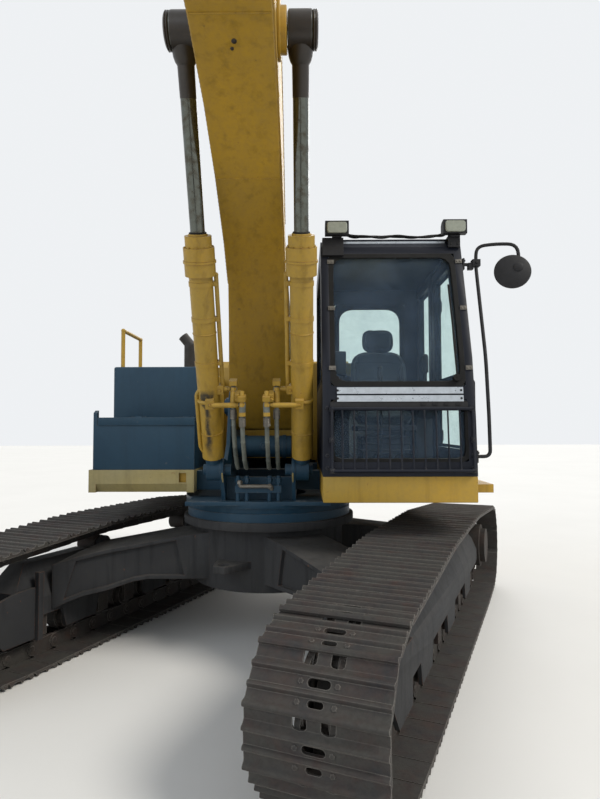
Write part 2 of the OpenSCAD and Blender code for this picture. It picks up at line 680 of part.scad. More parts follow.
tank_s = [-120, -780];
hydraulic_s = [-800, -1210];
module fuel_tank() {
    color(slate) house() block([-tank_inner_x, tank_s[0], deck_z], [-tank_side_x, tank_s[1], tank_top]);
}
module hydraulic_tank() {
    color(yellow) house() {
        block([-tank_inner_x, hydraulic_s[0], deck_z], [-tank_side_x, hydraulic_s[1], tank_top - 20]);
        translate([-900, -(hydraulic_s[0] + hydraulic_s[1]) / 2, tank_top - 30]) cylinder(r = 70, h = 50);
    }
}
box_x = [-tank_inner_x, -tank_side_x + 65];
box_s = [tank_deck_s - 8, tank_s[0] + 10];
lid_t = 26;
box_t = 12;
lid_pin_s = box_s[1] + 12;
lid_pin_z = box_top + 6;
lid_knuckles = [box_x[0] - 160, box_x[1] + 160];
module tool_box() {
    color(slate) house() {
        difference() {
            block([box_x[0], box_s[0], deck_z], [box_x[1], box_s[1], box_top - lid_t - 6]);
            block([box_x[0] - box_t, box_s[0] - box_t, deck_z + box_t],
                [box_x[1] + box_t, box_s[1] + box_t, box_top]);
        }
        // upright beside the box's outer front corner
        block([box_x[1] + 4, box_s[0], deck_z], [box_x[1] - 36, box_s[0] - 40, box_top - 60]);
        side(box_x[1] - 22, 28) polygon([
            [box_s[0], box_top - 61], [box_s[0], box_top + 34], [box_s[0] - 40, box_top + 54],
            [box_s[0] - 40, box_top - 61]]);
        for (x = lid_knuckles) {
            across(lid_pin_s, lid_pin_z, hinge_pin_r, x, 120);
            for (e = [-1, 1])
                block([x + e * 36, lid_pin_s + 10, box_top - lid_t - 8],
                    [x + e * 58, box_s[1], lid_pin_z + 10]);
        }
    }
}
module tool_box_lid() {
    color(slate) house() difference() {
        union() {
            block([box_x[0] + 2, box_s[0] + 4, box_top - lid_t], [box_x[1] - 2, lid_pin_s + 24, box_top]);
            block([box_x[0] + 2, box_s[0] + 10, box_top - 60], [box_x[1] - 2, box_s[0] + 4, box_top]);
            for (x = lid_knuckles) {
                across(lid_pin_s, lid_pin_z, hinge_r, x, 60);
                block([x - 30, lid_pin_s + 30, box_top - 12], [x + 30, lid_pin_s, box_top + 6]);
            }
        }
        for (x = lid_knuckles) across(lid_pin_s, lid_pin_z, hinge_pin_r + fit, x, 100);
    }
}

rail_r = 17;
// A rail through a list of points (x, ahead, up), with round joints.
module rail(points, r) {
    for (i = [0 : len(points) - 2]) {
        a = [points[i][0], -points[i][1], points[i][2]];
        b = [points[i + 1][0], -points[i + 1][1], points[i + 1][2]];
        d = b - a;
        translate(a) rotate([0, acos(d[2] / norm(d)), angle_of(d)]) cylinder(r = r, h = norm(d));
        if (i > 0) translate(a) sphere(r = r * 1.1);
    }
}
rails = [
    [[-tank_side_x + 60, tank_s[0] - 60, tank_top], [-tank_side_x + 60, tank_s[0] - 60, tank_top + 320],
        [-tank_side_x + 60, tank_s[1] + 60, tank_top + 320], [-tank_side_x + 60, tank_s[1] + 60, tank_top]],
    [[cab_side_x - 60, -900, housing_top], [cab_side_x - 60, -900, housing_top + 260],
        [cab_side_x - 60, -1500, housing_top + 260], [cab_side_x - 60, -1500, housing_top]]
];
module handrails() {
    color(yellow) house() for (r = rails) rail(r, rail_r);
}
module exhaust() {
    color(dark) house() translate([-980, 1640, housing_top]) difference() {
        union() {
            cylinder(r = 120, h = 14);
            cylinder(r = 62, h = 300);
            translate([0, 0, 300]) rotate([0, -40, 0]) translate([0, 0, -30]) cylinder(r = 56, h = 150);
        }
        translate([0, 0, 300]) rotate([0, -40, 0]) cylinder(r = 48, h = 150);
    }
}

// Cab, seen from the side: outline of the shell and of its inside
cab_outline = [
    [-cab_back, deck_z], [-cab_back, cab_top - 40], [-cab_back + 40, cab_top], [640, cab_top],
    [715, cab_top - 60], [850, 2500], [972, 2094], [1035, 1700], [cab_front, deck_z]];
cab_inside = [
    [-cab_back + cab_t, deck_z + cab_t], [-cab_back + cab_t, cab_top - cab_t],
    [610, cab_top - cab_t], [660, cab_top - cab_t - 60], [792, 2485], [914, 2080],
    [978, 1694], [cab_front - cab_t - 3, deck_z + cab_t]];
cab_x = cab_side_x - cab_w / 2;
door_back_s = -30;
door_leaf = [
    [door_back_s + 6, deck_z + 75], [door_back_s + 6, cab_top - 95], [560, cab_top - 95],
    [600, cab_top - 130], [735, 2480], [855, 2075], [915, 1680], [925, deck_z + 75]];
door_window = [
    [door_back_s + 90, 2000], [door_back_s + 90, cab_top - 170], [510, cab_top - 170],
    [540, cab_top - 200], [650, 2450], [770, 2050], [785, 2000]];
door_pane = [
    [door_back_s + 90, 1480], [door_back_s + 90, 1920], [800, 1920], [835, 1670], [838, 1480]];
module grown(d) { offset(delta = d) children(); }
module front_cut(z0, z1) {
    w = cab_w - 110;
    block([cab_x - w / 2, 300, z0], [cab_x + w / 2, 1300, z1]);
}
sill_z = 1860;
module cab_shell() {
    color(dark) house() difference() {
        union() {
            difference() {
                side(cab_x, cab_w) polygon(cab_outline);
                side(cab_x, cab_w - 2 * cab_t) polygon(cab_inside);
                front_cut(deck_z + 95, sill_z - 45);
                front_cut(sill_z + 45, cab_top - 115);
                // rear window
                block([cab_x - 330, -600, 2060], [cab_x + 330, -800, 2790]);
                // side window towards the boom
                side(cab_x - cab_w / 2, 2 * cab_t + 20) polygon([
                    [-600, 1950], [-600, cab_top - 150], [560, cab_top - 150], [690, 2450], [800, 1950]]);
                // rear side window
                side(cab_x + cab_w / 2, 2 * cab_t + 20) polygon([
                    [-620, 1950], [-620, cab_top - 150], [-140, cab_top - 150], [-140, 1950]]);
                side(cab_x + cab_w / 2, 2 * cab_t + 20) grown(6) polygon(door_leaf);
            }
            for (z = cab_hinges) {
                translate([cab_side_x + door_pin_x, -door_back_s, z - 56]) cylinder(r = hinge_r, h = 24);
                block([cab_side_x - 1, door_back_s, z - 56],
                    [cab_side_x + door_pin_x, door_back_s - 60, z - 32]);
                translate([cab_side_x + door_pin_x, -door_back_s, z - 22]) hinge_pin(108);
            }
        }
    }
}
cab_hinges = [deck_z + 260, cab_top - 330];
module cab_door() {
    color(dark) house() {
        difference() {
            side(cab_side_x - cab_t / 2 + 1, cab_t - 6) polygon(door_leaf);
            side(cab_side_x, 3 * cab_t) polygon(door_window);
            side(cab_side_x, 3 * cab_t) polygon(door_pane);
        }
        for (z = cab_hinges) {
            translate([cab_side_x + door_pin_x, -door_back_s, z]) knuckle(60);
            block([cab_side_x - 3, door_back_s + 80, z - 30],
                [cab_side_x + door_pin_x - hinge_pin_r - 2, door_back_s + 9, z + 30]);
        }
    }
}
module cab_door_glass() {
    color(steel) house() for (p = [door_window, door_pane])
        side(cab_side_x - cab_t / 2, glass_t) grown(-seat_gap) polygon(p);
}
module pane_front(z0, z1) {
    w = cab_w - 110 - 2 * seat_gap;
    intersection() {
        block([cab_x - w / 2, 300, z0 + seat_gap], [cab_x + w / 2, 1300, z1 - seat_gap]);
        difference() {
            side(cab_x, cab_w - 80) translate([-22, 0]) polygon(cab_outline);
            side(cab_x, cab_w) translate([-22 - glass_t, 0]) polygon(cab_outline);
        }
    }
}
module cab_glass() {
    color(steel) house() {
        pane_front(deck_z + 95, sill_z - 45);
        pane_front(sill_z + 45, cab_top - 115);
        block([cab_x - 330 + seat_gap, -cab_back + 25, 2060 + seat_gap],
            [cab_x + 330 - seat_gap, -cab_back + 25 + glass_t, 2790 - seat_gap]);
        side(cab_x - cab_w / 2 + 27, glass_t) grown(-seat_gap) polygon([
            [-600, 1950], [-600, cab_top - 150], [560, cab_top - 150], [690, 2450], [800, 1950]]);
        side(cab_x + cab_w / 2 - 27, glass_t) grown(-seat_gap) polygon([
            [-620, 1950], [-620, cab_top - 150], [-140, cab_top - 150], [-140, 1950]]);
    }
}
bar_n = 13;
module front_guard() {
    z0 = deck_z + 30;
    z1 = sill_z - 35;
    lean = (1035 - cab_front) / (1700 - deck_z);
    color(dark) house() for (k = [0 : bar_n - 1]) {
        x = cab_x - 420 + k * 840 / (bar_n - 1);
        rail([[x, cab_front + 26 + lean * (z0 - deck_z), z0],
            [x, cab_front + 26 + lean * (z1 - deck_z), z1]], 6);
    }
    color(dark) house() for (z = [z0, z1])
        translate([cab_x - 450, -(cab_front + 26 + lean * (z - deck_z)), z]) rotate([0, 90, 0])
            cylinder(r = 12, h = 900);
    color(dark) house() for (e = [-1, 1], z = [z0, z1])
        block([cab_x + e * 440, cab_front + 30 + lean * (z - deck_z), z - 16],
            [cab_x + e * 470, cab_front + 1.5 + lean * (z - deck_z), z + 16]);
}
seat_s = -180;
cab_floor_z = deck_z + cab_t;
module seat() {
    color(dark) house() {
        block([cab_x - 190, seat_s + 420, cab_floor_z], [cab_x + 190, seat_s - 20, 1640]);
        block([cab_x - 250, seat_s + 470, 1640], [cab_x + 250, seat_s - 60, 1790]);
        side(cab_x, 470) polygon([
            [seat_s, 1790], [seat_s + 110, 1790], [seat_s + 20, 2300], [seat_s - 100, 2300]]);
        side(cab_x, 280) polygon([
            [seat_s + 20, 2300], [seat_s + 0, 2480], [seat_s - 110, 2480], [seat_s - 100, 2300]]);
    }
}
module consoles() {
    color(dark) house() for (e = [-1, 1]) {
        side(cab_x + e * 330, 130) polygon([
            [-300, cab_floor_z], [-300, 1830], [250, 1880], [330, 1860], [330, 1760],
            [200, 1700], [200, cab_floor_z]]);
        translate([cab_x + e * 330, -260, 1850]) cylinder(r = 14, h = 230);
        translate([cab_x + e * 330, -260, 2060]) cylinder(r = 27, h = 110);
    }
}
module work_lamps() {
    color(steel) house() for (e = [-1, 1]) {
        x = cab_x + e * (cab_w / 2 - 85);
        block([x - 78, 790, cab_top + 35], [x + 78, 690, cab_top + 125]);
        block([x - 20, 760, cab_top + seat_gap], [x + 20, 620, cab_top + 40]);
        block([x - 20, 640, cab_top + seat_gap], [x + 20, 560, cab_top + 12]);
    }
}
mirror_x = 1510;
mirror_r = 125;
mirror_at = [1745, 800, 2710];
module side_mirror() {
    x = cab_side_x + seat_gap;
    color(dark) house() {
        rail([[x + 8, 735, 2760], [mirror_x, 735, 2760]], 12);
        rail([[x + 8, 1000, 1440], [mirror_x, 1000, 1440]], 12);
        rail([[mirror_x, 1000, 1440], [mirror_x, 985, 1700], [mirror_x, 935, 2094], [mirror_x, 735, 2760],
            [mirror_x + 20, 735, 2910], [mirror_x + 60, 735, 2935], [1790, 780, 2935], [1800, 800, 2900],
            [1790, 800, 2740]], 12);
        for (p = [[735, 2760], [1000, 1440]])
            block([x, p[0] + 28, p[1] - 40], [x + 12, p[0] - 28, p[1] + 40]);
        translate([mirror_at[0], -mirror_at[1], mirror_at[2]]) rotate([80, 0, -12])
            cylinder(r = mirror_r, h = 28);
        translate([mirror_at[0] + 10, -mirror_at[1] + 20, mirror_at[2] + 20]) sphere(r = 34);
    }
}

// Boom: outline in its own frame, along and over the line from foot pin to tip pin
boom_under = [[0, -190], [420, 10], [760, 250], [1036, 400], [1328, 498], [1800, 568], [2257, 580],
    [2761, 517], [boom_len - 250, -215]];
boom_over = [[boom_len - 150, 190], [3250, 1225], [2850, 1370], [2450, 1420], [2050, 1390],
    [1650, 1250], [1100, 930], [450, 470]];
boom_shape = concat(
    boom_under, arc([boom_len, 0], 170, -80, 80, 8), boom_over, arc([0, 0], 190, 110, 262, 8));
tip_gap = 300;
tip_slot = 560;
tip_pin_r = 50;
arm_cyl_at = [3400, 1480];
ear_t = 32;
module on_boom() {
    house() translate([0, -foot_s, foot_z]) rotate([-boom_rest, 0, 0]) children();
}
function boom_point(p) = [foot_s, foot_z] + turned(p, boom_rest);
lift_boss = 245;
module boom() {
    color(yellow) on_boom() difference() {
        union() {
            intersection() {
                side(boom_x, boom_foot_w) polygon(boom_shape);
                translate([boom_x, 0, 0]) linear_extrude(5000, center = true) polygon([
                    [-boom_foot_w / 2, 300], [boom_foot_w / 2, 300], [boom_foot_w / 2, -420],
                    [boom_w / 2, -1036], [boom_w / 2, -boom_len - 300], [-boom_w / 2, -boom_len - 300],
                    [-boom_w / 2, -1036], [-boom_foot_w / 2, -420]]);
            }
            across(lift_u, lift_v, 118, boom_x, 2 * lift_boss);
            for (e = [-1, 1])
                side(boom_x + e * (60 + ear_t / 2), ear_t) polygon(concat(
                    [[3050, 1200], [3640, 980]], arc(arm_cyl_at, 85, 0, 150, 8)));
        }
        across(0, 0, pin_r + fit, boom_x, 600);
        block([boom_x - tip_gap / 2, boom_len + 300, -600], [boom_x + tip_gap / 2, boom_len - tip_slot, 900]);
        across(boom_len, 0, tip_pin_r + fit, boom_x, 600);
        across(arm_cyl_at[0], arm_cyl_at[1], 40 + fit, boom_x, 300);
    }
}
pipe_lift = 42;
module boom_pipes() {
    color(yellow) on_boom() for (e = [-1, 1]) {
        x = boom_x + e * 150;
        pts = [for (i = [len(boom_over) - 1 : -1 : 1]) [x, boom_over[i][0], boom_over[i][1] + pipe_lift]];
        rail(pts, 15);
        difference() {
            for (i = [1 : 3 : len(pts) - 2])
                block([x - 26, pts[i][1] + 22, pts[i][2] - 80], [x + 26, pts[i][1] - 22, pts[i][2]]);
            side(boom_x, boom_w + 60) translate([0, seat_gap]) polygon(boom_shape);
        }
    }
}

// Hydraulic cylinder, drawn along the way ahead from its foot pin.
module along(s0, s1, r, x0) {
    translate([x0, -s0, 0]) rotate([90, 0, 0]) cylinder(r = r, h = s1 - s0);
}
// Barrel with its foot eye: length to the gland, outer radius, rod radius, eye radius, eye width, pin
// radius, and start of the full width
module barrel(x0, l, r, rod, eye, w, pin, start) {
    difference() {
        union() {
            across(0, 0, eye, x0, w);
            along(eye * 0.5, start + 10, w / 2 - 2, x0);
            along(start, l - 240, r, x0);
            along(l - 245, l - 70, r + 22, x0);
            along(l - 70, l, r + 8, x0);
            along(l - 165, l - 150, r + 28, x0);
        }
        across(0, 0, pin + fit, x0, 2 * w);
        along(start + 40, l + 10, rod + 0.5, x0);
    }
}
// Rod with its eye at distance reach from the foot pin
module rod(x0, reach, l, r, eye, w) {
    along(reach - l, reach - eye * 0.5, r, x0);
    across(reach, 0, eye, x0, w);
    along(reach - eye - 30, reach - eye * 0.5, r + 12, x0);
}
lift_at = [lift_foot_s, lift_foot_z];
lift_line = boom_point([lift_u, lift_v]) - lift_at;
lift_len = norm(lift_line);
lift_angle = angle_of(lift_line);
lift_barrel = 1640;
lift_r = 75;
lift_rod_r = 45;
// Where the pipes of a boom cylinder cross to the hoses, along the barrel
port_low = 550;
port_high = 630;
module on_lift() {
    house() translate([0, -lift_at[0], lift_at[1]]) rotate([-lift_angle, 0, 0]) children();
}
module boom_cylinder_barrels() {
    color(yellow) on_lift() for (e = [-1, 1]) {
        x = boom_x + e * lift_x;
        barrel(x, lift_barrel, lift_r, lift_rod_r, 78, lift_eye_w, lift_pin_r, 110);
        // pipe from the gland end down to the port block, and across to the hose end
        rail([[x - e * (lift_r - 10), 1420, 0], [x - e * (lift_r + 22), 1400, 0],
            [x - e * (lift_r + 22), port_high + 20, 0], [x - e * (lift_r + 22), port_high, -10],
            [boom_x + e * (hose_x[1] + hose_r + 9 + seat_gap), port_high, -10]], 14);
        rail([[x - e * 20, port_low, -lift_r + 5], [x - e * 20, port_low, -lift_r - 30],
            [boom_x + e * (hose_x[0] + hose_r + 9 + seat_gap), port_low, -lift_r - 30]], 14);
    }
}
// Hoses of the boom cylinders: distance from the boom's middle; each ends close to the foot pins' axis
hose_x = [82, 146];
hose_r = 15;
hose_sag = 106;
hose_half = (port_high - 21) / 2;
hose_bend_r = (hose_half * hose_half + hose_sag * hose_sag) / (2 * hose_sag);
hose_bend = asin(hose_half / hose_bend_r);
hose_paths = [
    [[port_low + 4, -105], [port_low - 90, -150], [300, -158], [140, -118], [52, -56], [17, -8]],
    arc([17 + hose_half, hose_bend_r - hose_sag - 8], hose_bend_r, hose_bend - 90, -hose_bend - 90, 8)
];
module front_hoses() {
    color(slate) on_lift() for (e = [-1, 1], i = [0, 1]) {
        x = boom_x + e * hose_x[i];
        rail([for (p = hose_paths[i]) [x, p[0], p[1]]], hose_r);
        rail([[x - e * 2, hose_paths[i][0][0] - 4, hose_paths[i][0][1] - 4],
            [x, hose_paths[i][1][0] + 20, hose_paths[i][1][1] + 10]], hose_r + 7);
        translate([x, -hose_paths[i][0][0], hose_paths[i][0][1]]) sphere(r = hose_r + 9);
    }
}
// Pipes that rise from the frame's floor to the hoses, in a bracket on the cross member
module valve_pipes() {
    color(yellow) house() {
        for (e = [-1, 1], x = hose_x) {
            translate([boom_x + e * x, -lift_foot_s, floor_z + 28 + seat_gap])
                cylinder(r = hose_r, h = 1285 - floor_z - 28 - seat_gap);
            translate([boom_x + e * x, -lift_foot_s, 1240]) cylinder(r = hose_r + 8, h = 26, $fn = 6);
        }
        block([boom_x - 165, lift_foot_s + 20, 1165], [boom_x + 165, lift_foot_s - 20, 1215]);
    }
}
module boom_cylinder_rods() {
    color(steel) on_lift() for (e = [-1, 1]) {
        rod(boom_x + e * lift_x, lift_len, 1600, lift_rod_r, 100, 126);
        across(lift_len, 0, 62, boom_x + e * (lift_x + 76), 30);
    }
}
arm_eye = 850;
arm_eye_angle = 158.9;
arm_turn = arm_rest - boom_rest;
arm_eye_at = [boom_len, 0] + arm_eye * [cos(arm_eye_angle + arm_turn), sin(arm_eye_angle + arm_turn)];
arm_cyl_line = arm_eye_at - arm_cyl_at;
arm_cyl_len = norm(arm_cyl_line);
arm_cyl_angle = angle_of(arm_cyl_line);
arm_barrel = 1840;
module on_arm_cylinder() {
    on_boom() translate([0, -arm_cyl_at[0], arm_cyl_at[1]]) rotate([-arm_cyl_angle, 0, 0]) children();
}
module arm_cylinder_barrel() {
    color(yellow) on_arm_cylinder() {
        barrel(boom_x, arm_barrel, 85, 50, 82, 108, 40, 175);
        across(0, 0, 40, boom_x, 2 * (60 + ear_t) + 24);
    }
}
module arm_cylinder_rod() {
    color(steel) on_arm_cylinder() rod(boom_x, arm_cyl_len, arm_barrel - 80, 50, 88, 106);
}

// Arm: outline in its own frame, along and over the line from tip pin to bucket pin
eye_at = arm_eye * [cos(arm_eye_angle), sin(arm_eye_angle)];
bucket_cyl_at = [350, 525];
rocker_at = [arm_len - 420, 60];
arm_end_r = 100;
eye_gap = 124;
module on_arm() {
    on_boom() translate([0, -boom_len, 0]) rotate([-arm_turn, 0, 0]) children();
}
module arm() {
    color(yellow) on_arm() difference() {
        union() {
            side(boom_x, arm_w - 34) polygon(concat(
                arc([0, 0], 155, 230, 280, 4), [[700, -190], [arm_len - 400, -120]],
                arc([arm_len, 0], arm_end_r, -95, 80, 6),
                [[arm_len - 300, 150], [600, 400], [100, 455], [-300, 440]],
                arc(eye_at, 105, 80, 240, 8)));
            for (e = [-1, 1])
                side(boom_x + e * (56 + ear_t / 2), ear_t) polygon(concat(
                    [[120, 400], [560, 380]], arc(bucket_cyl_at, 75, 10, 170, 8)));
            across(rocker_at[0], rocker_at[1], 90, boom_x, arm_w - 30);
            across(rocker_at[0], rocker_at[1], link_pin_r, boom_x, 2 * (rocker_in + rocker_t) + 30);
        }
        across(arm_len, 0, link_pin_r + fit, boom_x, 600);
        across(bucket_cyl_at[0], bucket_cyl_at[1], 34 + fit, boom_x, 300);
        // mouth that takes the cylinder's eye
        side(boom_x, eye_gap) polygon([eye_at + [-400, -400], eye_at + [180, -400],
            eye_at + [240, 60], eye_at + [60, 400], eye_at + [-400, 400]]);
    }
    color(steel) on_arm() across(0, 0, tip_pin_r, boom_x, boom_w + 50);
    color(steel) on_arm() for (e = [-1, 1])
        across(eye_at[0], eye_at[1], 60, boom_x + e * ((arm_w - 34) / 2 + 10), 24);
}
link_pin_r = 42;
rocker_in = 152;
rocker_t = 28;
rocker_len = 650;
link_len = 620;
bucket_eye = 440;
bucket_eye_angle = 97;
// Bucket linkage, in the arm's frame
bucket_turn = bucket_rest - 90 - arm_rest;
link_eye_turn = bucket_turn + bucket_eye_angle;
link_eye_at = [arm_len, 0] + bucket_eye * [cos(link_eye_turn), sin(link_eye_turn)];
rocker_to_eye = link_eye_at - rocker_at;
rocker_angle = angle_of(rocker_to_eye) + acos((rocker_len * rocker_len + rocker_to_eye * rocker_to_eye
    - link_len * link_len) / (2 * rocker_len * norm(rocker_to_eye)));
rocker_pin_at = rocker_at + rocker_len * [cos(rocker_angle), sin(rocker_angle)];
// An outline round two eyes: places and radii
module bar_profile(p, q, rp, rq) {
    a = angle_of(q - p);
    k = acos((rp - rq) / norm(q - p));
    polygon(concat(arc(p, rp, a + k, a + 360 - k, 14), arc(q, rq, a - k, a + k, 14)));
}
module rocker_links() {
    color(yellow) on_arm() for (e = [-1, 1]) {
        difference() {
            side(boom_x + e * (rocker_in + rocker_t / 2), rocker_t)
                bar_profile(rocker_at, rocker_pin_at, 82, 72);
            across(rocker_at[0], rocker_at[1], link_pin_r + fit, boom_x, 600);
        }
        across(rocker_pin_at[0], rocker_pin_at[1], 50, boom_x + e * (rocker_in + rocker_t + 8), 20);
    }
}
module bucket_link() {
    color(yellow) on_arm() difference() {
        union() {
            for (e = [-1, 1])
                side(boom_x + e * 101, 84) bar_profile(rocker_pin_at, link_eye_at, 72, 78);
            across(link_eye_at[0], link_eye_at[1], 78, boom_x, 2 * 143);
            side(boom_x, 130) bar_profile(
                link_eye_at + (rocker_pin_at - link_eye_at) * 0.5, link_eye_at, 60, 78);
        }
        across(link_eye_at[0], link_eye_at[1], link_pin_r + fit, boom_x, 600);
    }
}
bucket_cyl_line = rocker_pin_at - bucket_cyl_at;
bucket_cyl_len = norm(bucket_cyl_line);
bucket_cyl_angle = angle_of(bucket_cyl_line);
bucket_barrel = 1440;
module on_bucket_cylinder() {
    on_arm() translate([0, -bucket_cyl_at[0], bucket_cyl_at[1]]) rotate([-bucket_cyl_angle, 0, 0]) children();
}
module bucket_cylinder_barrel() {
    color(yellow) on_bucket_cylinder() {
        barrel(boom_x, bucket_barrel, 72, 43, 72, 96, 34, 175);
        across(0, 0, 34, boom_x, 2 * (56 + ear_t) + 24);
    }
}
module bucket_cylinder_rod() {
    color(steel) on_bucket_cylinder() rod(boom_x, bucket_cyl_len, bucket_barrel + 140, 43, 74, 96);
}

// Bucket, hanging straight with its mouth towards the machine
bucket_back = arc([190, -570], 470, -52, 78, 12);
bucket_lip = [-40, -1290];
bucket_shell_t = 28;
bucket_mouth = [[30, -170], [-60, -330], [-210, -700]];
module on_bucket() {
    on_arm() translate([0, -arm_len, 0]) rotate([-bucket_turn - 90, 0, 0]) children();
}
ear_in = 160;
ear_w = 40;
module bucket_shell() {
    difference() {
        side(boom_x, bucket_w) polygon(concat([bucket_lip], bucket_back, bucket_mouth));
        side(boom_x, bucket_w - 2 * bucket_shell_t) polygon(concat([bucket_lip + [-15, 26]],
            arc([190, -570], 470 - bucket_shell_t, -50, 76, 12),
            [[30, -199], [-400, -200], [-400, -1290]]));
    }
}
module bucket() {
    color(slate) on_bucket() {
        bucket_shell();
        for (e = [-1, 1])
            difference() {
                side(boom_x + e * (ear_in + ear_w / 2), ear_w) polygon(concat(
                    [[20, -230], [520, -300]], arc(bucket_eye * [cos(7), sin(7)], 88, 0, 90, 6),
                    arc([0, 0], 105, 70, 180, 8)));
            }
        across(0, 0, link_pin_r, boom_x, 2 * (ear_in + ear_w) + 40);
        across(bucket_eye * cos(7), bucket_eye * sin(7), link_pin_r, boom_x, 2 * (ear_in + ear_w) + 30);
    }
}
module bucket_teeth() {
    color(dusty) on_bucket() for (k = [0 : tooth_count - 1]) {
        x = boom_x + (k / (tooth_count - 1) - 0.5) * (bucket_w - 90);
        difference() {
            intersection() {
                side(x, 84) polygon([
                    [-70, -1262], [-62, -1330], [-8, -tip_r], [8, -tip_r], [28, -1330],
                    [60, -1200], [-28, -1200]]);
                translate([x, 0, 0]) rotate([90, 0, 0]) linear_extrude(1000, center = true) polygon([
                    [-42, -1100], [-42, -1360], [-26, -tip_r], [26, -tip_r], [42, -1360], [42, -1100]]);
            }
            for (g = [-seat_gap, 0, seat_gap]) translate([0, 0, g]) bucket_shell();
        }
    }
}

center_frame();
track_frame(1);  // track_frame_left
track_frame(-1);  // track_frame_right
track(1);  // track_left
track(-1);  // track_right
idler(1);  // idler_left
idler(-1);  // idler_right
sprocket(1);  // sprocket_left
sprocket(-1);  // sprocket_right
track_rollers();
carrier_rollers();
slew_ring();
revolving_frame();
cab_deck();
tank_deck();
side_step();
counterweight();
engine_block();
engine_housing();
engine_hood();
left_side_door();
right_side_door();
fuel_tank();
hydraulic_tank();
tool_box();
tool_box_lid();
handrails();
exhaust();
cab_shell();
cab_glass();
cab_door();
cab_door_glass();
front_guard();
seat();
consoles();
work_lamps();
side_mirror();
boom();
boom_pipes();
boom_cylinder_barrels();
boom_cylinder_rods();
front_hoses();
valve_pipes();
arm_cylinder_barrel();
arm_cylinder_rod();
arm();
bucket_cylinder_barrel();
bucket_cylinder_rod();
rocker_links();
bucket_link();
bucket();
bucket_teeth();
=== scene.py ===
import json
import math
import bpy
import bmesh
from mathutils import Matrix, Vector

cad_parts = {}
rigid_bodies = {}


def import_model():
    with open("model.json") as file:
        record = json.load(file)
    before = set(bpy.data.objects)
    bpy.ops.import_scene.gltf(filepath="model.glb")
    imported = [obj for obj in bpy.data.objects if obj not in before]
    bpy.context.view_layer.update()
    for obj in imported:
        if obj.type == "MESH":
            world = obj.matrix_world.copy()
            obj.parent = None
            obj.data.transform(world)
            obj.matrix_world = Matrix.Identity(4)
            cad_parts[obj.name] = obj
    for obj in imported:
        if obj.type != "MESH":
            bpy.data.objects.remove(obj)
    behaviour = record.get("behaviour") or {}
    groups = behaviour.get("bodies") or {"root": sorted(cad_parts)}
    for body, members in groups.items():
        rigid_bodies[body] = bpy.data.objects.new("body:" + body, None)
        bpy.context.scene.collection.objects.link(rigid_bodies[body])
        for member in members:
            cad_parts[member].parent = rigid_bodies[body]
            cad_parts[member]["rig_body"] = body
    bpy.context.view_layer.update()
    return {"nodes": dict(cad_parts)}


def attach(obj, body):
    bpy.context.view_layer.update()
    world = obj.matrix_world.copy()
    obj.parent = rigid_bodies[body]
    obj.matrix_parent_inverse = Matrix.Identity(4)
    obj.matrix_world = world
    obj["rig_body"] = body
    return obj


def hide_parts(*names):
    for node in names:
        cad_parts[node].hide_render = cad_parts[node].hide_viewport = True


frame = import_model()
NODES = frame["nodes"]

# Places and sizes as in the part's source: metres, degrees, and (ahead, up) from the swing's axis
SWING_Y = 1.999
SLEW_REST = -22.5
BOOM_X = -0.043
FOOT = (0.080, 1.800)
BOOM_LEN = 5.85
BOOM_REST = 27.0
ARM_LEN = 2.95
ARM_REST = -71.0
BUCKET_REST = -12.0
LIFT_FOOT = (0.620, 1.330)
LIFT_EYE = (2.418, 1.001)
LIFT_X = 0.318
ARM_CYL = (3.400, 1.480)
ARM_EYE = (0.850, 158.9)
BUCKET_CYL = (0.350, 0.525)
ROCKER = (2.530, 0.060)
ROCKER_LEN = 0.650
LINK_LEN = 0.620
BUCKET_EYE = (0.440, 97.0)
DECK_Z = 1.315
CAB_SIDE_X = 1.410
CAB_X = 0.910
CAB_W = 1.000
CAB_TOP = 2.980
CAB_T = 0.055
BOOM_SIDE = 0.1955
ARM_SIDE = 0.1435
BUCKET_SIDE = 0.598
CAB_EDGE = 0.447
LAMP_FACE = 0.774
MIRROR_X = 1.510


def turned(p, degrees):
    """A point turned about the origin."""
    a = math.radians(degrees)
    return (p[0] * math.cos(a) - p[1] * math.sin(a), p[0] * math.sin(a) + p[1] * math.cos(a))


def plus(p, q):
    """The sum of two points."""
    return (p[0] + q[0], p[1] + q[1])


def angle_of(p, q):
    """The direction from p to q, in degrees."""
    return math.degrees(math.atan2(q[1] - p[1], q[0] - p[0]))


def on_circle(length, degrees):
    """The point at a distance and direction from the origin."""
    return (length * math.cos(math.radians(degrees)), length * math.sin(math.radians(degrees)))


def meet(p, rp, q, rq):
    """Where the circles round p and q meet, left of the line from p to q."""
    d = math.hypot(q[0] - p[0], q[1] - p[1])
    k = math.degrees(math.acos((rp * rp + d * d - rq * rq) / (2 * rp * d)))
    return plus(p, on_circle(rp, angle_of(p, q) + k))


TIP = plus(FOOT, turned((BOOM_LEN, 0), BOOM_REST))
LIFT_PIN = plus(FOOT, turned(LIFT_EYE, BOOM_REST))
ARM_CYL_AT = plus(FOOT, turned(ARM_CYL, BOOM_REST))
ARM_EYE_AT = plus(TIP, turned(on_circle(*ARM_EYE), ARM_REST))
BUCKET_PIN = plus(TIP, turned((ARM_LEN, 0), ARM_REST))
BUCKET_CYL_AT = plus(TIP, turned(BUCKET_CYL, ARM_REST))
ROCKER_AT = plus(TIP, turned(ROCKER, ARM_REST))
LINK_EYE = plus(BUCKET_PIN, on_circle(BUCKET_EYE[0], BUCKET_REST - 90 + BUCKET_EYE[1]))
ROCKER_PIN = meet(ROCKER_AT, ROCKER_LEN, LINK_EYE, LINK_LEN)


def frame_at(point=(0, 0), degrees=0.0, x=0.0):
    """A local frame: x across, -y ahead along the direction, z over it."""
    return Matrix.Translation((x, SWING_Y - point[0], point[1])) @ Matrix.Rotation(-math.radians(degrees), 4, "X")


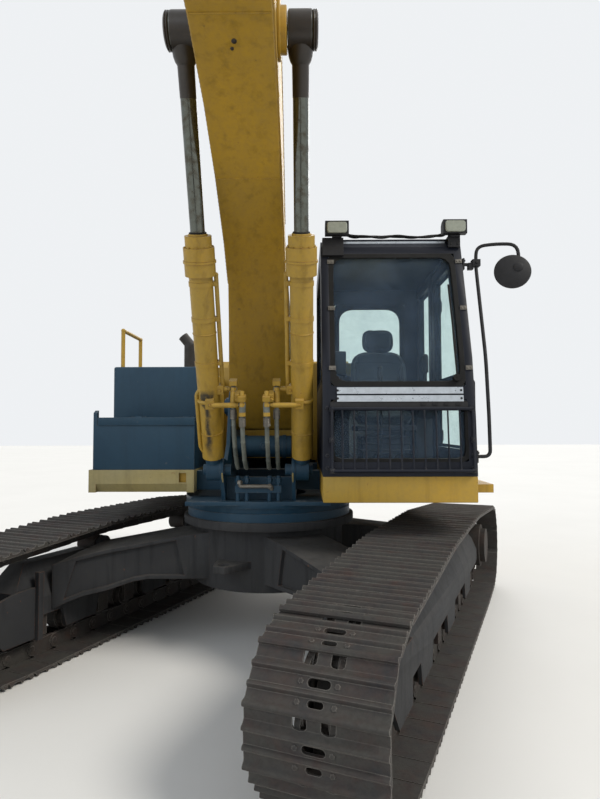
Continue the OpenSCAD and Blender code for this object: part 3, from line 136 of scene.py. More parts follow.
HOUSE = frame_at()
UNDER = HOUSE @ Matrix.Rotation(math.radians(SLEW_REST), 4, "Z")
ON_BOOM = frame_at(FOOT, BOOM_REST, BOOM_X)
ON_ARM = frame_at(TIP, ARM_REST, BOOM_X)
ON_BUCKET = frame_at(BUCKET_PIN, BUCKET_REST, BOOM_X)
ON_LIFT = frame_at(LIFT_FOOT, angle_of(LIFT_FOOT, LIFT_PIN), BOOM_X)
ON_ARM_CYL = frame_at(ARM_CYL_AT, angle_of(ARM_CYL_AT, ARM_EYE_AT), BOOM_X)
ON_BUCKET_CYL = frame_at(BUCKET_CYL_AT, angle_of(BUCKET_CYL_AT, ROCKER_PIN), BOOM_X)


# Materials
class Shader:
    """A node tree with short calls."""

    def __init__(self, name):
        self.mat = bpy.data.materials.new(name)
        self.mat.use_nodes = True
        self.tree = self.mat.node_tree
        self.tree.nodes.clear()
        self.out = self.tree.nodes.new("ShaderNodeOutputMaterial")
        self.bsdf = self.tree.nodes.new("ShaderNodeBsdfPrincipled")
        self.tree.links.new(self.bsdf.outputs[0], self.out.inputs[0])
        self.coords = self.tree.nodes.new("ShaderNodeTexCoord")

    def put(self, socket, value):
        """Links a socket to the input, or sets its value."""
        if isinstance(value, bpy.types.NodeSocket):
            self.tree.links.new(value, socket)
        elif isinstance(value, tuple) and len(value) == 3 and len(socket.default_value) == 4:
            socket.default_value = (*value, 1.0)
        else:
            socket.default_value = value

    def node(self, kind, out=0, props=(), **inputs):
        """A node's output; inputs go by name, or by number as i0, i1 and so on."""
        n = self.tree.nodes.new("ShaderNode" + kind)
        for key, value in dict(props).items():
            setattr(n, key, value)
        for key, value in inputs.items():
            socket = n.inputs[int(key[1:])] if key[0] == "i" and key[1:].isdigit() else n.inputs[key]
            self.put(socket, value)
        return n.outputs[out]

    def noise(self, scale, detail=4.0, rough=0.6, stretch=(1, 1, 1), distort=0.0):
        """Noise fixed to the object, about 0 to 1."""
        where = self.node("Mapping", i0=self.coords.outputs["Object"], Scale=stretch)
        return self.node("TexNoise", Vector=where, Scale=scale, Detail=detail, Roughness=rough, Distortion=distort)

    def ramp(self, value, lo, hi, a=0.0, b=1.0):
        """Maps lo to hi onto a to b, held at its ends."""
        return self.node("MapRange", props={"clamp": True}, Value=value, i1=lo, i2=hi, i3=a, i4=b)

    def math(self, op, a, b=0.0, clamp=True):
        return self.node("Math", props={"operation": op, "use_clamp": clamp}, i0=a, i1=b)

    def mix(self, fac, a, b, blend="MIX"):
        return self.node("Mix", out=2, props={"data_type": "RGBA", "blend_type": blend}, i0=fac, i6=a, i7=b)

    def part(self, axis, source="Object"):
        """One coordinate of the place or of the normal."""
        return self.node("SeparateXYZ", out="XYZ".index(axis), i0=self.coords.outputs[source])

    def edges(self, radius):
        """1 at sharp edges, 0 on flat faces."""
        soft = self.node("Bevel", props={"samples": 4}, Radius=radius)
        hard = self.node("NewGeometry", out=1)
        dot = self.node("VectorMath", out=1, props={"operation": "DOT_PRODUCT"}, i0=soft, i1=hard)
        return self.ramp(dot, 0.985, 0.86)

    def bump(self, height, strength, distance=0.002):
        """Fine relief of the surface."""
        self.put(self.bsdf.inputs["Normal"], self.node("Bump", Height=height, Strength=strength, Distance=distance))

    def finish(self, color, rough, metal=0.0, **extra):
        """Sets the surface and returns the material."""
        self.put(self.bsdf.inputs["Base Color"], color)
        self.put(self.bsdf.inputs["Roughness"], rough)
        self.put(self.bsdf.inputs["Metallic"], metal)
        for key, value in extra.items():
            self.put(self.bsdf.inputs[key.replace("_", " ")], value)
        return self.mat


DUST = (0.30, 0.25, 0.19)
SOIL = (0.115, 0.095, 0.075)
RUST = (0.16, 0.06, 0.025)
OIL_BLACK = (0.022, 0.020, 0.016)
BRIGHT_STEEL = (0.26, 0.24, 0.215)


def paint(name, base, faded, worn, dust=0.5, chips=0.5, grime=0.5, rough=0.5, dust_color=DUST,
          edge=0.006, shine=0.4,
          soil=SOIL, stain=None):
    """Weathered paint: fading, runs of dirt, dust on level faces, chips and worn edges."""
    s = Shader(name)
    color = s.mix(s.ramp(s.noise(1.3, 5, 0.65, distort=0.4), 0.35, 0.7), base, faded)
    streak = s.noise(5.0, 5, 0.6, stretch=(3.2, 3.2, 0.22))
    color = s.mix(s.math("MULTIPLY", s.ramp(streak, 0.5, 0.78), grime), color, tuple(c * 0.45 for c in base))
    fine = s.noise(38.0, 4, 0.7)
    color = s.mix(s.math("MULTIPLY", s.ramp(fine, 0.42, 0.75), 0.22 * grime + 0.05), color, soil)
    level = s.ramp(s.part("Z", "Normal"), 0.35, 0.95)
    cloud = s.ramp(s.noise(4.5, 6, 0.7), 0.25, 0.7)
    cover = s.math("MULTIPLY", s.math("MULTIPLY", level, cloud), dust)
    color = s.mix(cover, color, dust_color)
    wear = s.math("MULTIPLY", s.edges(edge), s.ramp(s.noise(14.0, 5, 0.7), 0.42, 0.62))
    spots = s.ramp(s.noise(26.0, 3, 0.55), 0.73 - 0.05 * chips, 0.76 - 0.05 * chips)
    wear = s.math("MAXIMUM", s.math("MULTIPLY", wear, 0.8), s.math("MULTIPLY", spots, chips))
    color = s.mix(wear, color, worn)
    if stain:
        color = s.mix(stain(s), color, OIL_BLACK)
    s.bump(s.noise(90.0, 3, 0.6), 0.10, 0.0015)
    return s.finish(color, s.ramp(fine, 0.2, 0.9, rough - 0.06, rough + 0.22), Specular_IOR_Level=shine)


def port_oil(s):
    """Oil that ran down the right-hand barrel from its lower port."""
    x, z = s.part("X"), s.part("Z")
    off = s.math("ABSOLUTE", s.math("ADD", s.math("SUBTRACT", x, BOOM_X - LIFT_X - 0.008, False),
                                    s.ramp(s.noise(9.0, 4, 0.6), 0.2, 0.8, -0.022, 0.022), False), 0.0, False)
    wide = s.ramp(z, 1.755, 1.800, 0.022, 0.050)
    band = s.math("LESS_THAN", off, wide)
    soft = s.ramp(s.math("SUBTRACT", wide, off, False), -0.004, 0.016)
    ends = s.math("MULTIPLY", s.ramp(z, 1.40, 1.52), s.ramp(z, 1.885, 1.850))
    front = s.ramp(s.part("Y", "Normal"), -0.35, -0.65)
    mask = s.math("MULTIPLY", s.math("MULTIPLY", soft, ends), s.math("MULTIPLY", front, s.math("ADD", band, 0.3)))
    return s.math("MULTIPLY", mask, s.ramp(s.noise(24.0, 4, 0.7), 0.25, 0.55, 0.35, 0.95))


def dusty_metal(name, base, soil, cover, rough=0.62, metal=0.35, shine=0.5, scale=1.0):
    """Steel under dry soil, with bright worn edges and rust."""
    s = Shader(name)
    color = s.mix(s.ramp(s.noise(9.0 * scale, 5, 0.65), 0.35, 0.65, 0.0, 0.22), base, RUST)
    dirt = s.ramp(s.noise(5.0 * scale, 7, 0.72, distort=0.6), 0.62 - cover * 0.45, 0.80 - cover * 0.35)
    color = s.mix(dirt, color, soil)
    fine = s.noise(55.0 * scale, 5, 0.75)
    color = s.mix(s.math("MULTIPLY", s.ramp(fine, 0.45, 0.7), 0.45), color, tuple(c * 0.45 for c in soil))
    bright = s.math("MULTIPLY", s.edges(0.006), shine)
    color = s.mix(bright, color, BRIGHT_STEEL)
    s.bump(s.math("ADD", s.noise(18.0 * scale, 6, 0.75), s.math("MULTIPLY", fine, 0.4), False), 0.5, 0.006)
    return s.finish(color, s.math("SUBTRACT", rough + 0.15, s.math("MULTIPLY", bright, 0.3)), metal,
                    Specular_IOR_Level=0.25)


def plain(name, base, rough, metal=0.0, vary=0.25, scale=20.0, bump=0.08, dust=1.0, **extra):
    """A material with some variation, a fine bump and dust on its level faces."""
    s = Shader(name)
    color = s.mix(s.ramp(s.noise(scale, 5, 0.65), 0.3, 0.75), base, tuple(c * (1 - vary) for c in base))
    level = s.ramp(s.part("Z", "Normal"), 0.4, 1.0)
    color = s.mix(s.math("MULTIPLY", level, 0.35 * dust), color, DUST)
    s.bump(s.noise(scale * 4, 3, 0.6), bump, 0.001)
    return s.finish(color, s.ramp(s.noise(scale * 0.6, 4, 0.6), 0.3, 0.8, rough - 0.05, rough + 0.12),
                    metal, **extra)


def oily_chrome():
    """Dull chrome with runs of oil along the rod."""
    s = Shader("rod_chrome")
    streak = s.noise(3.0, 5, 0.6, stretch=(8, 0.6, 8))
    color = s.mix(s.ramp(streak, 0.45, 0.75), (0.125, 0.135, 0.120), (0.060, 0.048, 0.032))
    s.bump(s.noise(60.0, 3, 0.6), 0.03, 0.0005)
    return s.finish(color, s.ramp(streak, 0.4, 0.8, 0.16, 0.42), 0.9)


def glass():
    """Clear glass with a bluish veil, stronger where it is dusty."""
    s = Shader("pane")
    dirt = s.ramp(s.noise(3.5, 6, 0.75, distort=0.5), 0.42, 0.8)
    clear = s.tree.nodes.new("ShaderNodeBsdfTransparent")
    clear.inputs[0].default_value = (0.94, 0.995, 0.980, 1)
    s.finish((0.17, 0.24, 0.36), s.ramp(dirt, 0.0, 1.0, 0.03, 0.40), 0.0, IOR=1.35)
    blend = s.node("MixShader", i0=s.ramp(dirt, 0.0, 1.0, 0.07, 0.15), i1=clear.outputs[0], i2=s.bsdf.outputs[0])
    s.tree.links.new(blend, s.out.inputs[0])
    return s.mat


def rubber_hose():
    """Grey hose with a woven cover."""
    s = Shader("hose")
    weave = s.node("TexWave", i0=s.coords.outputs["Object"], Scale=60.0, Distortion=2.0)
    color = s.mix(s.ramp(s.noise(12.0, 5, 0.7), 0.35, 0.7), (0.075, 0.085, 0.075), (0.18, 0.19, 0.16))
    s.bump(weave, 0.25, 0.001)
    return s.finish(color, 0.62)


def seat_fabric():
    """Dark blue woven cloth."""
    s = Shader("seat_cloth")
    warp = s.node("TexWave", i0=s.coords.outputs["Object"], props={"bands_direction": "X"}, Scale=170.0)
    weft = s.node("TexWave", i0=s.coords.outputs["Object"], props={"bands_direction": "Z"}, Scale=170.0)
    weave = s.math("MULTIPLY", warp, weft)
    color = s.mix(s.ramp(s.noise(7.0, 5, 0.6), 0.3, 0.7), (0.020, 0.028, 0.040), (0.038, 0.047, 0.062))
    color = s.mix(s.math("MULTIPLY", weave, 0.35), color, (0.07, 0.08, 0.095))
    s.bump(weave, 0.35, 0.001)
    return s.finish(color, 0.85, 0.0, Sheen_Weight=0.25)


# A deep ochre: the paint's own tone, darkened further as painted shade for the shade the machine stands in.
YELLOW = (0.40, 0.238, 0.025)
MATS = {
    "yellow_paint": paint("yellow_paint", YELLOW, (0.34, 0.225, 0.040), RUST, dust=0.30, chips=0.45, grime=0.6,
                          rough=0.42, shine=0.35),
    "deck_paint": paint("deck_paint", (0.31, 0.25, 0.095), (0.27, 0.235, 0.12), RUST, dust=0.35,
                        chips=0.5, grime=0.5, rough=0.5),
    # Boom paint: a deep ochre of its own, darkened further as painted shade like the yellow.
    "boom_paint": paint("boom_paint", (0.40, 0.233, 0.018), (0.31, 0.188, 0.023), (0.07, 0.05, 0.03), dust=0.25,
                        chips=0.4, grime=0.75, rough=0.45, shine=0.3),
    "slate_paint": paint("slate_paint", (0.009, 0.036, 0.066), (0.015, 0.048, 0.080), (0.12, 0.12, 0.11), dust=0.22,
                         chips=0.3, grime=0.3, rough=0.42, dust_color=(0.13, 0.15, 0.16), shine=0.25,
                         soil=(0.03, 0.035, 0.035)),
    "cab_paint": paint("cab_paint", (0.006, 0.008, 0.014), (0.011, 0.013, 0.021), (0.09, 0.085, 0.08), dust=0.12,
                       chips=0.25, grime=0.1, rough=0.40, dust_color=(0.10, 0.11, 0.13), shine=0.2,
                       soil=(0.02, 0.02, 0.022)),
    # Track paint: dark, dusty paint, darkened further as painted shade for the shadow the tracks lie in.
    "track_paint": paint("track_paint", (0.027, 0.028, 0.031), (0.042, 0.042, 0.043), RUST, dust=0.65, chips=0.4,
                         grime=0.8, rough=0.75, dust_color=(0.085, 0.080, 0.073), shine=0.2,
                         soil=(0.05, 0.046, 0.04)),
    "barrel_paint": paint("barrel_paint", YELLOW, (0.34, 0.225, 0.040), RUST, dust=0.30, chips=0.45, grime=0.8,
                          rough=0.42, shine=0.35, stain=port_oil),
    "bucket_steel": dusty_metal("bucket_steel", (0.105, 0.09, 0.075), (0.17, 0.14, 0.105), 0.55, 0.55, 0.45, 0.8),
    # Track shoe and link steel: dark oily steel, darkened further as painted shade for the shadow the tracks lie
    # in.
    "track_steel": dusty_metal("track_steel", (0.036, 0.036, 0.039), (0.060, 0.057, 0.052), 0.62, 0.62, 0.15, 0.6),
    "link_steel": dusty_metal("link_steel", (0.030, 0.029, 0.030), (0.052, 0.048, 0.043), 0.6, 0.6, 0.2, 0.5),
    "dark_steel": plain("dark_steel", (0.035, 0.033, 0.032), 0.6, 0.5, 0.4),
    "bearing_steel": plain("bearing_steel", (0.12, 0.115, 0.11), 0.4, 0.8, 0.5),
    "bolt_steel": plain("bolt_steel", (0.20, 0.185, 0.16), 0.45, 0.7, 0.4, 40.0),
    "rod_chrome": oily_chrome(),
    "pane": glass(),
    "hose": rubber_hose(),
    "seat_cloth": seat_fabric(),
    "trim": plain("trim", (0.018, 0.018, 0.020), 0.55, 0.0, 0.35, 30.0, 0.2, dust=0.4, Specular_IOR_Level=0.25),
    "seal": plain("seal", (0.010, 0.010, 0.010), 0.7, 0.0, 0.3, 30.0, 0.1, dust=0.3, Specular_IOR_Level=0.2),
    "band": plain("band", (0.50, 0.54, 0.58), 0.30, 0.7, 0.25, 25.0, dust=0.3),
    "lamp": plain("lamp", (0.32, 0.34, 0.28), 0.16, 0.0, 0.2, 40.0, 0.05, dust=0.4),
    "grease": plain("grease", (0.026, 0.019, 0.013), 0.36, 0.0, 0.5, 14.0, 0.8, dust=0.2),
}


# Geometry
def skin(bm, rows, closed=False):
    """Faces between rows of points, each row a loop; capped, or closed from the last row to the first."""
    rows = [[bm.verts.new(p) for p in row] for row in rows]
    if not closed:
        for row in (rows[0][::-1], rows[-1]):
            if len(row) > 2:
                bm.faces.new(row)
    for a, b in zip(rows, rows[1:] + rows[:1] if closed else rows[1:]):
        n = max(len(a), len(b))
        for i in range(n):
            j = (i + 1) % n
            corners = dict.fromkeys((a[i % len(a)], a[j % len(a)], b[j % len(b)], b[i % len(b)]))
            if len(corners) > 2:
                bm.faces.new(list(corners))


def circle(n):
    """Cosine and sine of n equal steps round."""
    return [(math.cos(2 * math.pi * i / n), math.sin(2 * math.pi * i / n)) for i in range(n)]


def to_mesh(bm, name, outward=True):
    """The bmesh as a mesh; the bmesh is freed."""
    if outward:
        bmesh.ops.recalc_face_normals(bm, faces=bm.faces)
    mesh = bpy.data.meshes.new(name)
    bm.to_mesh(mesh)
    bm.free()
    return mesh


class Build:
    """Collects forms in a local frame into one piece. Points are (x, ahead, up), but turn takes real axes."""

    def __init__(self, name, at=HOUSE):
        self.name = name
        self.at = at
        self.bm = bmesh.new()

    @staticmethod
    def point(p):
        return Vector((p[0], -p[1], p[2]))

    def skin(self, rows, closed=False):
        skin(self.bm, rows, closed)
        return self

    def box(self, a, b):
        """A box between two corners."""
        xs, (s0, s1), (z0, z1) = (sorted(pair) for pair in zip(a, b))
        return self.skin([[(x, -s0, z0), (x, -s1, z0), (x, -s1, z1), (x, -s0, z1)] for x in xs])

    def plate(self, outline, x0, w):
        """An outline of (ahead, up) as a plate of width w about x0."""
        return self.skin([[(x0 + e * w / 2, -s, z) for s, z in outline] for e in (-1, 1)])

    def turn(self, profile, base, axis, n=24, hollow=False):
        """A profile of (distance along, radius) turned round an axis; a hollow one closes on itself."""
        z = Vector(axis).normalized()
        x = z.orthogonal().normalized()
        y = z.cross(x)
        base = Vector(base)
        around = [x * c + y * s for c, s in circle(n)]
        return self.skin([[base + z * d + r * u for u in around] if r > 1e-6 else [base + z * d]
                          for d, r in profile], hollow)

    def rod(self, a, b, r, n=16, cap=0.0):
        """A round bar between two points, with its ends chamfered by cap."""
        a, b = self.point(a), self.point(b)
        length = (b - a).length
        ends = [(0, r - cap), (cap, r), (length - cap, r), (length, r - cap)] if cap else [(0, r), (length, r)]
        return self.turn(ends, a, b - a, n)

    def tube(self, points, r, n=12, bend=0.05):
        """A pipe through points with rounded bends."""
        pts = [self.point(p) for p in points]
        path = [pts[0]]
        for a, b, c in zip(pts, pts[1:], pts[2:]):
            d = min(bend, (a - b).length * 0.45, (c - b).length * 0.45)
            p, q = b + (a - b).normalized() * d, b + (c - b).normalized() * d
            path += [p * (1 - t) ** 2 + b * 2 * t * (1 - t) + q * t * t for t in (i / 5 for i in range(6))]
        path.append(pts[-1])
        rows = []
        up = None
        for i, p in enumerate(path):
            d = (path[min(i + 1, len(path) - 1)] - path[max(i - 1, 0)]).normalized()
            up = d.orthogonal().normalized() if up is None else (up - d * up.dot(d)).normalized()
            side = d.cross(up)
            rows.append([p + r * (up * c + side * s) for c, s in circle(n)])
        return self.skin(rows)

    def bolt(self, at, axis, r, washer=True):
        """A hexagon head with its washer and a domed end."""
        p, d = self.point(at), self.point(axis).normalized()
        if washer:
            self.turn([(0, r * 1.35), (r * 0.22, r * 1.35)], p, d, 18)
        return self.turn([(r * 0.2, r), (r * 0.95, r), (r * 1.08, r * 0.82)], p, d, 6)

    def ring(self, outline, width, x0, depth):
        """A flat frame that follows an outline (ahead, up), of the given depth about x0."""
        inner = inset(outline, width)
        low, high = x0 - depth / 2, x0 + depth / 2
        return self.skin([[(x, -s, z) for s, z in line]
                          for x, line in ((low, outline), (low, inner), (high, inner), (high, outline))], True)

    def done(self, body, material, bevel=0.0, segments=2, angle=32, replaces=()):
        """Ends the piece: its mesh, material and the body that it rides on."""
        mesh = to_mesh(self.bm, self.name)
        mesh.transform(self.at)
        return settle(bpy.data.objects.new(self.name, mesh), body, material, bevel, segments, angle, replaces)


def settle(obj, body, material, bevel=0.0, segments=2, angle=32, replaces=()):
    """Links a piece, rounds its edges, gives it its material and lets it ride."""
    bpy.context.scene.collection.objects.link(obj)
    obj.data.materials.clear()
    obj.data.materials.append(MATS[material])
    obj.data.polygons.foreach_set("use_smooth", [True] * len(obj.data.polygons))
    if bevel:
        mod = obj.modifiers.new("edge", "BEVEL")
        mod.width = bevel
        mod.segments = segments
        mod.limit_method = "ANGLE"
        mod.angle_limit = math.radians(angle)
        mod.use_clamp_overlap = True
        mod.harden_normals = True
    else:
        obj.data.set_sharp_from_angle(angle=math.radians(angle))
    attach(obj, body)
    if replaces:
        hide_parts(*replaces)
    return obj


def inset(outline, d):
    """An outline moved inwards by d; points run either way round."""
    area = sum(a[0] * b[1] - b[0] * a[1] for a, b in zip(outline, outline[1:] + outline[:1]))
    sign = 1 if area > 0 else -1
    result = []
    n = len(outline)
    for i in range(n):
        p, q, r = Vector(outline[i - 1]), Vector(outline[i]), Vector(outline[(i + 1) % n])
        a, b = (q - p).normalized(), (r - q).normalized()
        na, nb = Vector((-a.y, a.x)) * sign, Vector((-b.y, b.x)) * sign
        m = (na + nb).normalized()
        result.append(tuple(q + m * (d / max(0.3, m.dot(na)))))
    return result


def rounded(outline, r, n=5):
    """An outline with its corners rounded."""
    result = []
    for i in range(len(outline)):
        p, q, s = (Vector(outline[k % len(outline)]) for k in (i - 1, i, i + 1))
        d = min(r, (p - q).length * 0.48, (s - q).length * 0.48)
        a, b = q + (p - q).normalized() * d, q + (s - q).normalized() * d
        for k in range(n + 1):
            t = k / n
            result.append(tuple(a * (1 - t) ** 2 + q * 2 * t * (1 - t) + b * t * t))
    return result


def dress(node, material, bevel=0.006):
    """The CAD node's own shape with rounded edges, in its place."""
    mesh = NODES[node].data.copy()
    mesh.name = node + "_dressed"
    bm = bmesh.new()
    bm.from_mesh(mesh)
    bmesh.ops.remove_doubles(bm, verts=bm.verts, dist=1e-5)
    bmesh.ops.dissolve_limit(bm, angle_limit=math.radians(0.6), verts=bm.verts, edges=bm.edges)
    bm.to_mesh(mesh)
    bm.free()
    return settle(bpy.data.objects.new(mesh.name, mesh), NODES[node]["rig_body"], material, bevel, angle=30,
                  replaces=(node,))


def coat(node, material):
    """A new material on a CAD node that keeps its own mesh."""
    obj = NODES[node]
    for slot in obj.material_slots:
        slot.material = MATS[material]
    if not obj.material_slots:
        obj.data.materials.append(MATS[material])


DRESS = {
    "boom_paint": {"boom": 0.014, "arm": 0.012},
    "deck_paint": {"tank_deck": 0.006},
    "yellow_paint": {"cab_deck": 0.006, "counterweight": 0.035, "engine_housing": 0.012,
                     "engine_hood": 0.010, "left_side_door": 0.008, "right_side_door": 0.008,
                     "hydraulic_tank": 0.012, "rocker_links": 0.005, "side_step": 0.002, "bucket_link": 0.006},
    "slate_paint": {"fuel_tank": 0.014, "tool_box": 0.005, "tool_box_lid": 0.008, "revolving_frame": 0.004},
    "cab_paint": {"cab_shell": 0.010, "cab_door": 0.008},
    "bucket_steel": {"bucket": 0.006, "bucket_teeth": 0.006},
    "track_paint": {"center_frame": 0.010, "track_frame_left": 0.008, "track_frame_right": 0.008},
}
COAT = {
    "yellow_paint": ["handrails", "boom_pipes", "arm_cylinder_barrel", "bucket_cylinder_barrel"],
    "barrel_paint": ["boom_cylinder_barrels"],
    "slate_paint": ["valve_pipes", "slew_ring"],
    "rod_chrome": ["boom_cylinder_rods", "arm_cylinder_rod", "bucket_cylinder_rod"],
    "dark_steel": ["engine_block", "exhaust"],
    "link_steel": ["idler_left", "idler_right", "sprocket_left", "sprocket_right", "track_rollers",
                   "carrier_rollers"],
    "cab_paint": ["front_guard", "side_mirror"],
    "pane": ["cab_glass", "cab_door_glass"],
    "seat_cloth": ["seat"],
    "trim": ["consoles"],
    "lamp": ["work_lamps"],
    "hose": ["front_hoses"],
}


def dress_all():
    """Rounded copies for some CAD nodes, new materials for the rest."""
    for material, table in DRESS.items():
        for node, bevel in table.items():
            dress(node, material, bevel)
    for material, nodes in COAT.items():
        for node in nodes:
            coat(node, material)


# Tracks: the same loop as in the part's source, in millimetres
GAUGE = 2590.0
SHOE_W = 600.0
SHOES = 48
SPAN = 3840.0
TUMBLER_R = 310.0
PIN_Z = 95.0
LIFT_Z = 22.0
CARRIER_Z = 828.0
CARRIER_SPAN = 1240.0
BELT_R = 130.0
END_S = 1420.0
SHOE_BACK = 58.0
LINK_T = 42.0
LINK_GAP = 96.0
TUMBLER_Z = PIN_Z + LIFT_Z + TUMBLER_R
BELT = [(-END_S, PIN_Z + BELT_R, BELT_R), (END_S, PIN_Z + BELT_R, BELT_R), (SPAN / 2, TUMBLER_Z, TUMBLER_R),
        (CARRIER_SPAN / 2, CARRIER_Z - BELT_R, BELT_R), (-CARRIER_SPAN / 2, CARRIER_Z - BELT_R, BELT_R),
        (-SPAN / 2, TUMBLER_Z, TUMBLER_R)]


def belt_parts():
    """Arcs round the wheels and the straight runs after them, once round the loop."""
    n = len(BELT)
    normals = []
    for i in range(n):
        (x0, z0, r0), (x1, z1, r1) = BELT[i], BELT[(i + 1) % n]
        d = math.hypot(x1 - x0, z1 - z0)
        normals.append((math.atan2(z1 - z0, x1 - x0) - math.acos((r0 - r1) / d), math.sqrt(d * d - (r0 - r1) ** 2)))
    parts = []
    for i in range(n):
        before = normals[i - 1][0]
        turn = (normals[i][0] - before) % (2 * math.pi)
        parts.append((i, before, turn * BELT[i][2], normals[i][0], normals[i][1]))
    return parts


PARTS = belt_parts()
LOOP = sum(p[2] + p[4] for p in PARTS)
PITCH = LOOP / SHOES


def on_belt(t):
    """The point at a length t along the loop."""
    for i, start, arc_len, normal, run in PARTS:
        x, z, r = BELT[i]
        if t <= arc_len:
            a = start + t / r
            return Vector((x + r * math.cos(a), z + r * math.sin(a)))
        if t <= arc_len + run:
            d = t - arc_len
            return Vector((x + r * math.cos(normal) - d * math.sin(normal),
                           z + r * math.sin(normal) + d * math.cos(normal)))
        t -= arc_len + run
    return on_belt(0.0)


JOINTS = [on_belt(((k + 0.5) * PITCH) % LOOP) for k in range(SHOES)]


def shoe_matrix(k, u):
    """Frame of link k: x along the pitch, y outward, z across; in metres, in the undercarriage's frame."""
    p, q = JOINTS[k], JOINTS[(k + 1) % SHOES]
    d = (q - p).normalized()
    o = (p + q) / 2
    m = Matrix(((0, 0, 1, u), (-d.x, -d.y, 0, -o.x), (d.y, -d.x, 0, o.y), (0, 0, 0, 1)))
    return Matrix.Scale(0.001, 4) @ m


SHOE_LAP = 29.0
SHOE_LIP = 22.0
SHOE_VALLEY = 76.0
SHOE_TIP = 94.6
CRESTS = (-46.0, 34.0)
SLOTS = ((-8.0, 98.0, 34.0), (68.0, 67.0, 27.0))


def shoe_mesh():
    """One shoe: three worn grousers, the last a lip over the next shoe's notched edge, and two mud slots."""
    half = PITCH / 2
    back = -half - SHOE_LAP
    wave = [(-15, -17), (-11, -8), (-7, -2), (-3, 0), (3, 0), (7, -3), (11, -9), (16, -17)]
    upper = [(back, 62), (back + 4, 65.5), (-half + 24, 66), (-half + 32, 72)]
    for c in CRESTS:
        upper += [(c + d, SHOE_TIP + h) for d, h in wave]
        upper.append((c + 38, SHOE_VALLEY))
    upper[-1] = (half - 22, SHOE_VALLEY)
    upper += [(half - 10, 80), (half - 3, 88), (half + 3, 93), (half + 9, SHOE_TIP), (half + 14, SHOE_TIP - 1),
              (half + 19, 90), (half + 23, 82), (half + SHOE_LIP, 74)]
    lower = [(half + SHOE_LIP - 2, 69), (half - 24, 68), (half - 36, SHOE_BACK + 1), (back, SHOE_BACK + 1)]
    bm = bmesh.new()
    skin(bm, [[(x, y, e * SHOE_W / 2) for x, y in upper + lower] for e in (-1, 1)])
    holes = []
    for cx, length, width in SLOTS:
        ends = [(e, math.radians(-90 + 180 * k / 6)) for e in (1, -1) for k in range(7)]
        holes.append([(cx + e * width / 2 * math.sin(a), e * ((length - width) / 2 + width / 2 * math.cos(a)))
                      for e, a in ends])
    for z in (-60, 60):
        holes.append([(back - 10, z - 30), (back + 44, z - 30), (back + 54, z - 22), (back + 57, z),
                      (back + 54, z + 22), (back + 44, z + 30), (back - 10, z + 30)])
    cut = bmesh.new()
    for hole in holes:
        skin(cut, [[(x, y, z) for x, z in hole] for y in (SHOE_BACK - 20, SHOE_TIP + 20)])
    a, b = (bpy.data.objects.new(name, to_mesh(part, name)) for name, part in (("shoe", bm), ("cutter", cut)))
    for o in (a, b):
        bpy.context.scene.collection.objects.link(o)
    mod = a.modifiers.new("cut", "BOOLEAN")
    mod.object = b
    mod.operation = "DIFFERENCE"
    mod.solver = "EXACT"
    result = evaluated(a)
    for o in (a, b):
        bpy.data.objects.remove(o)
    return result


def evaluated(obj):
    """The object's mesh with its modifiers."""
    bpy.context.view_layer.update()
    return bpy.data.meshes.new_from_object(obj.evaluated_get(bpy.context.evaluated_depsgraph_get()))


def joined(name, mesh, matrices):
    """Copies of a mesh at each matrix, as one mesh."""
    bm = bmesh.new()
    for m in matrices:
        start = len(bm.verts)
        bm.from_mesh(mesh)
        bm.verts.ensure_lookup_table()
        bmesh.ops.transform(bm, matrix=m, verts=bm.verts[start:])
    return to_mesh(bm, name, False)


def bolts_mesh():
    """The heads of a shoe's four bolts."""
    b = Build("bolts")
    for z in (-LINK_GAP / 2 - LINK_T / 2, LINK_GAP / 2 + LINK_T / 2):
        for x in (SLOTS[0][0], SLOTS[1][0]):
            b.turn([(0, 16), (2, 16)], (x, SHOE_VALLEY - 2, z * 1.12), (0, 1, 0), 12)
            b.turn([(1, 13), (5, 13), (7, 10)], (x, SHOE_VALLEY - 2, z * 1.12), (0, 1, 0), 6)
    return to_mesh(b.bm, "bolts", False)


def links_mesh():
    """A pair of links with their pin boss and pin."""
    b = Build("links")
    half = PITCH / 2
    body = [(-half + 14, 54), (-half - 12, 44), (-half - 40, 22), (-half - 44, -6), (-half - 30, -34),
            (-half - 4, -48), (half - 30, -49.5), (half + 4, -44), (half + 32, -26), (half + 40, 4),
            (half + 30, 30), (half + 8, 44), (half - 20, 56)]
    t = LINK_T / 2 - 8
    for e in (-1, 1):
        mid = e * (LINK_GAP + LINK_T) / 2
        b.skin([[(x, y, mid + s * t + (e * 4 if x > 0 else -e * 4)) for x, y in body] for s in (-1, 1)])
    b.turn([(0, 30), (LINK_GAP + 8, 30)], (-half, 0, -(LINK_GAP + 8) / 2), (0, 0, 1), 16)
    wide = LINK_GAP + 2 * LINK_T
    b.turn([(0, 18), (2, 21), (wide - 2, 21), (wide, 18)], (-half, 0, -wide / 2), (0, 0, 1), 14)
    return to_mesh(b.bm, "links")


def tracks():
    """Shoes, links and bolt heads all round both tracks."""
    shoe, bolts, links = shoe_mesh(), bolts_mesh(), links_mesh()
    for mesh in (shoe, bolts):
        mesh.transform(Matrix.Scale(-1, 4, (1, 0, 0)))
        mesh.flip_normals()
    for side, name in ((1, "left"), (-1, "right")):
        at = [UNDER @ shoe_matrix(k, side * GAUGE / 2) for k in range(SHOES)]
        for piece, mesh, material in (("track_shoes", shoe, "track_steel"), ("track_links", links, "link_steel"),
                                      ("shoe_bolts", bolts, "track_steel")):
            whole = joined(f"{piece}_{name}", mesh, at)
            settle(bpy.data.objects.new(whole.name, whole), "undercarriage", material, replaces=(f"track_{name}",))


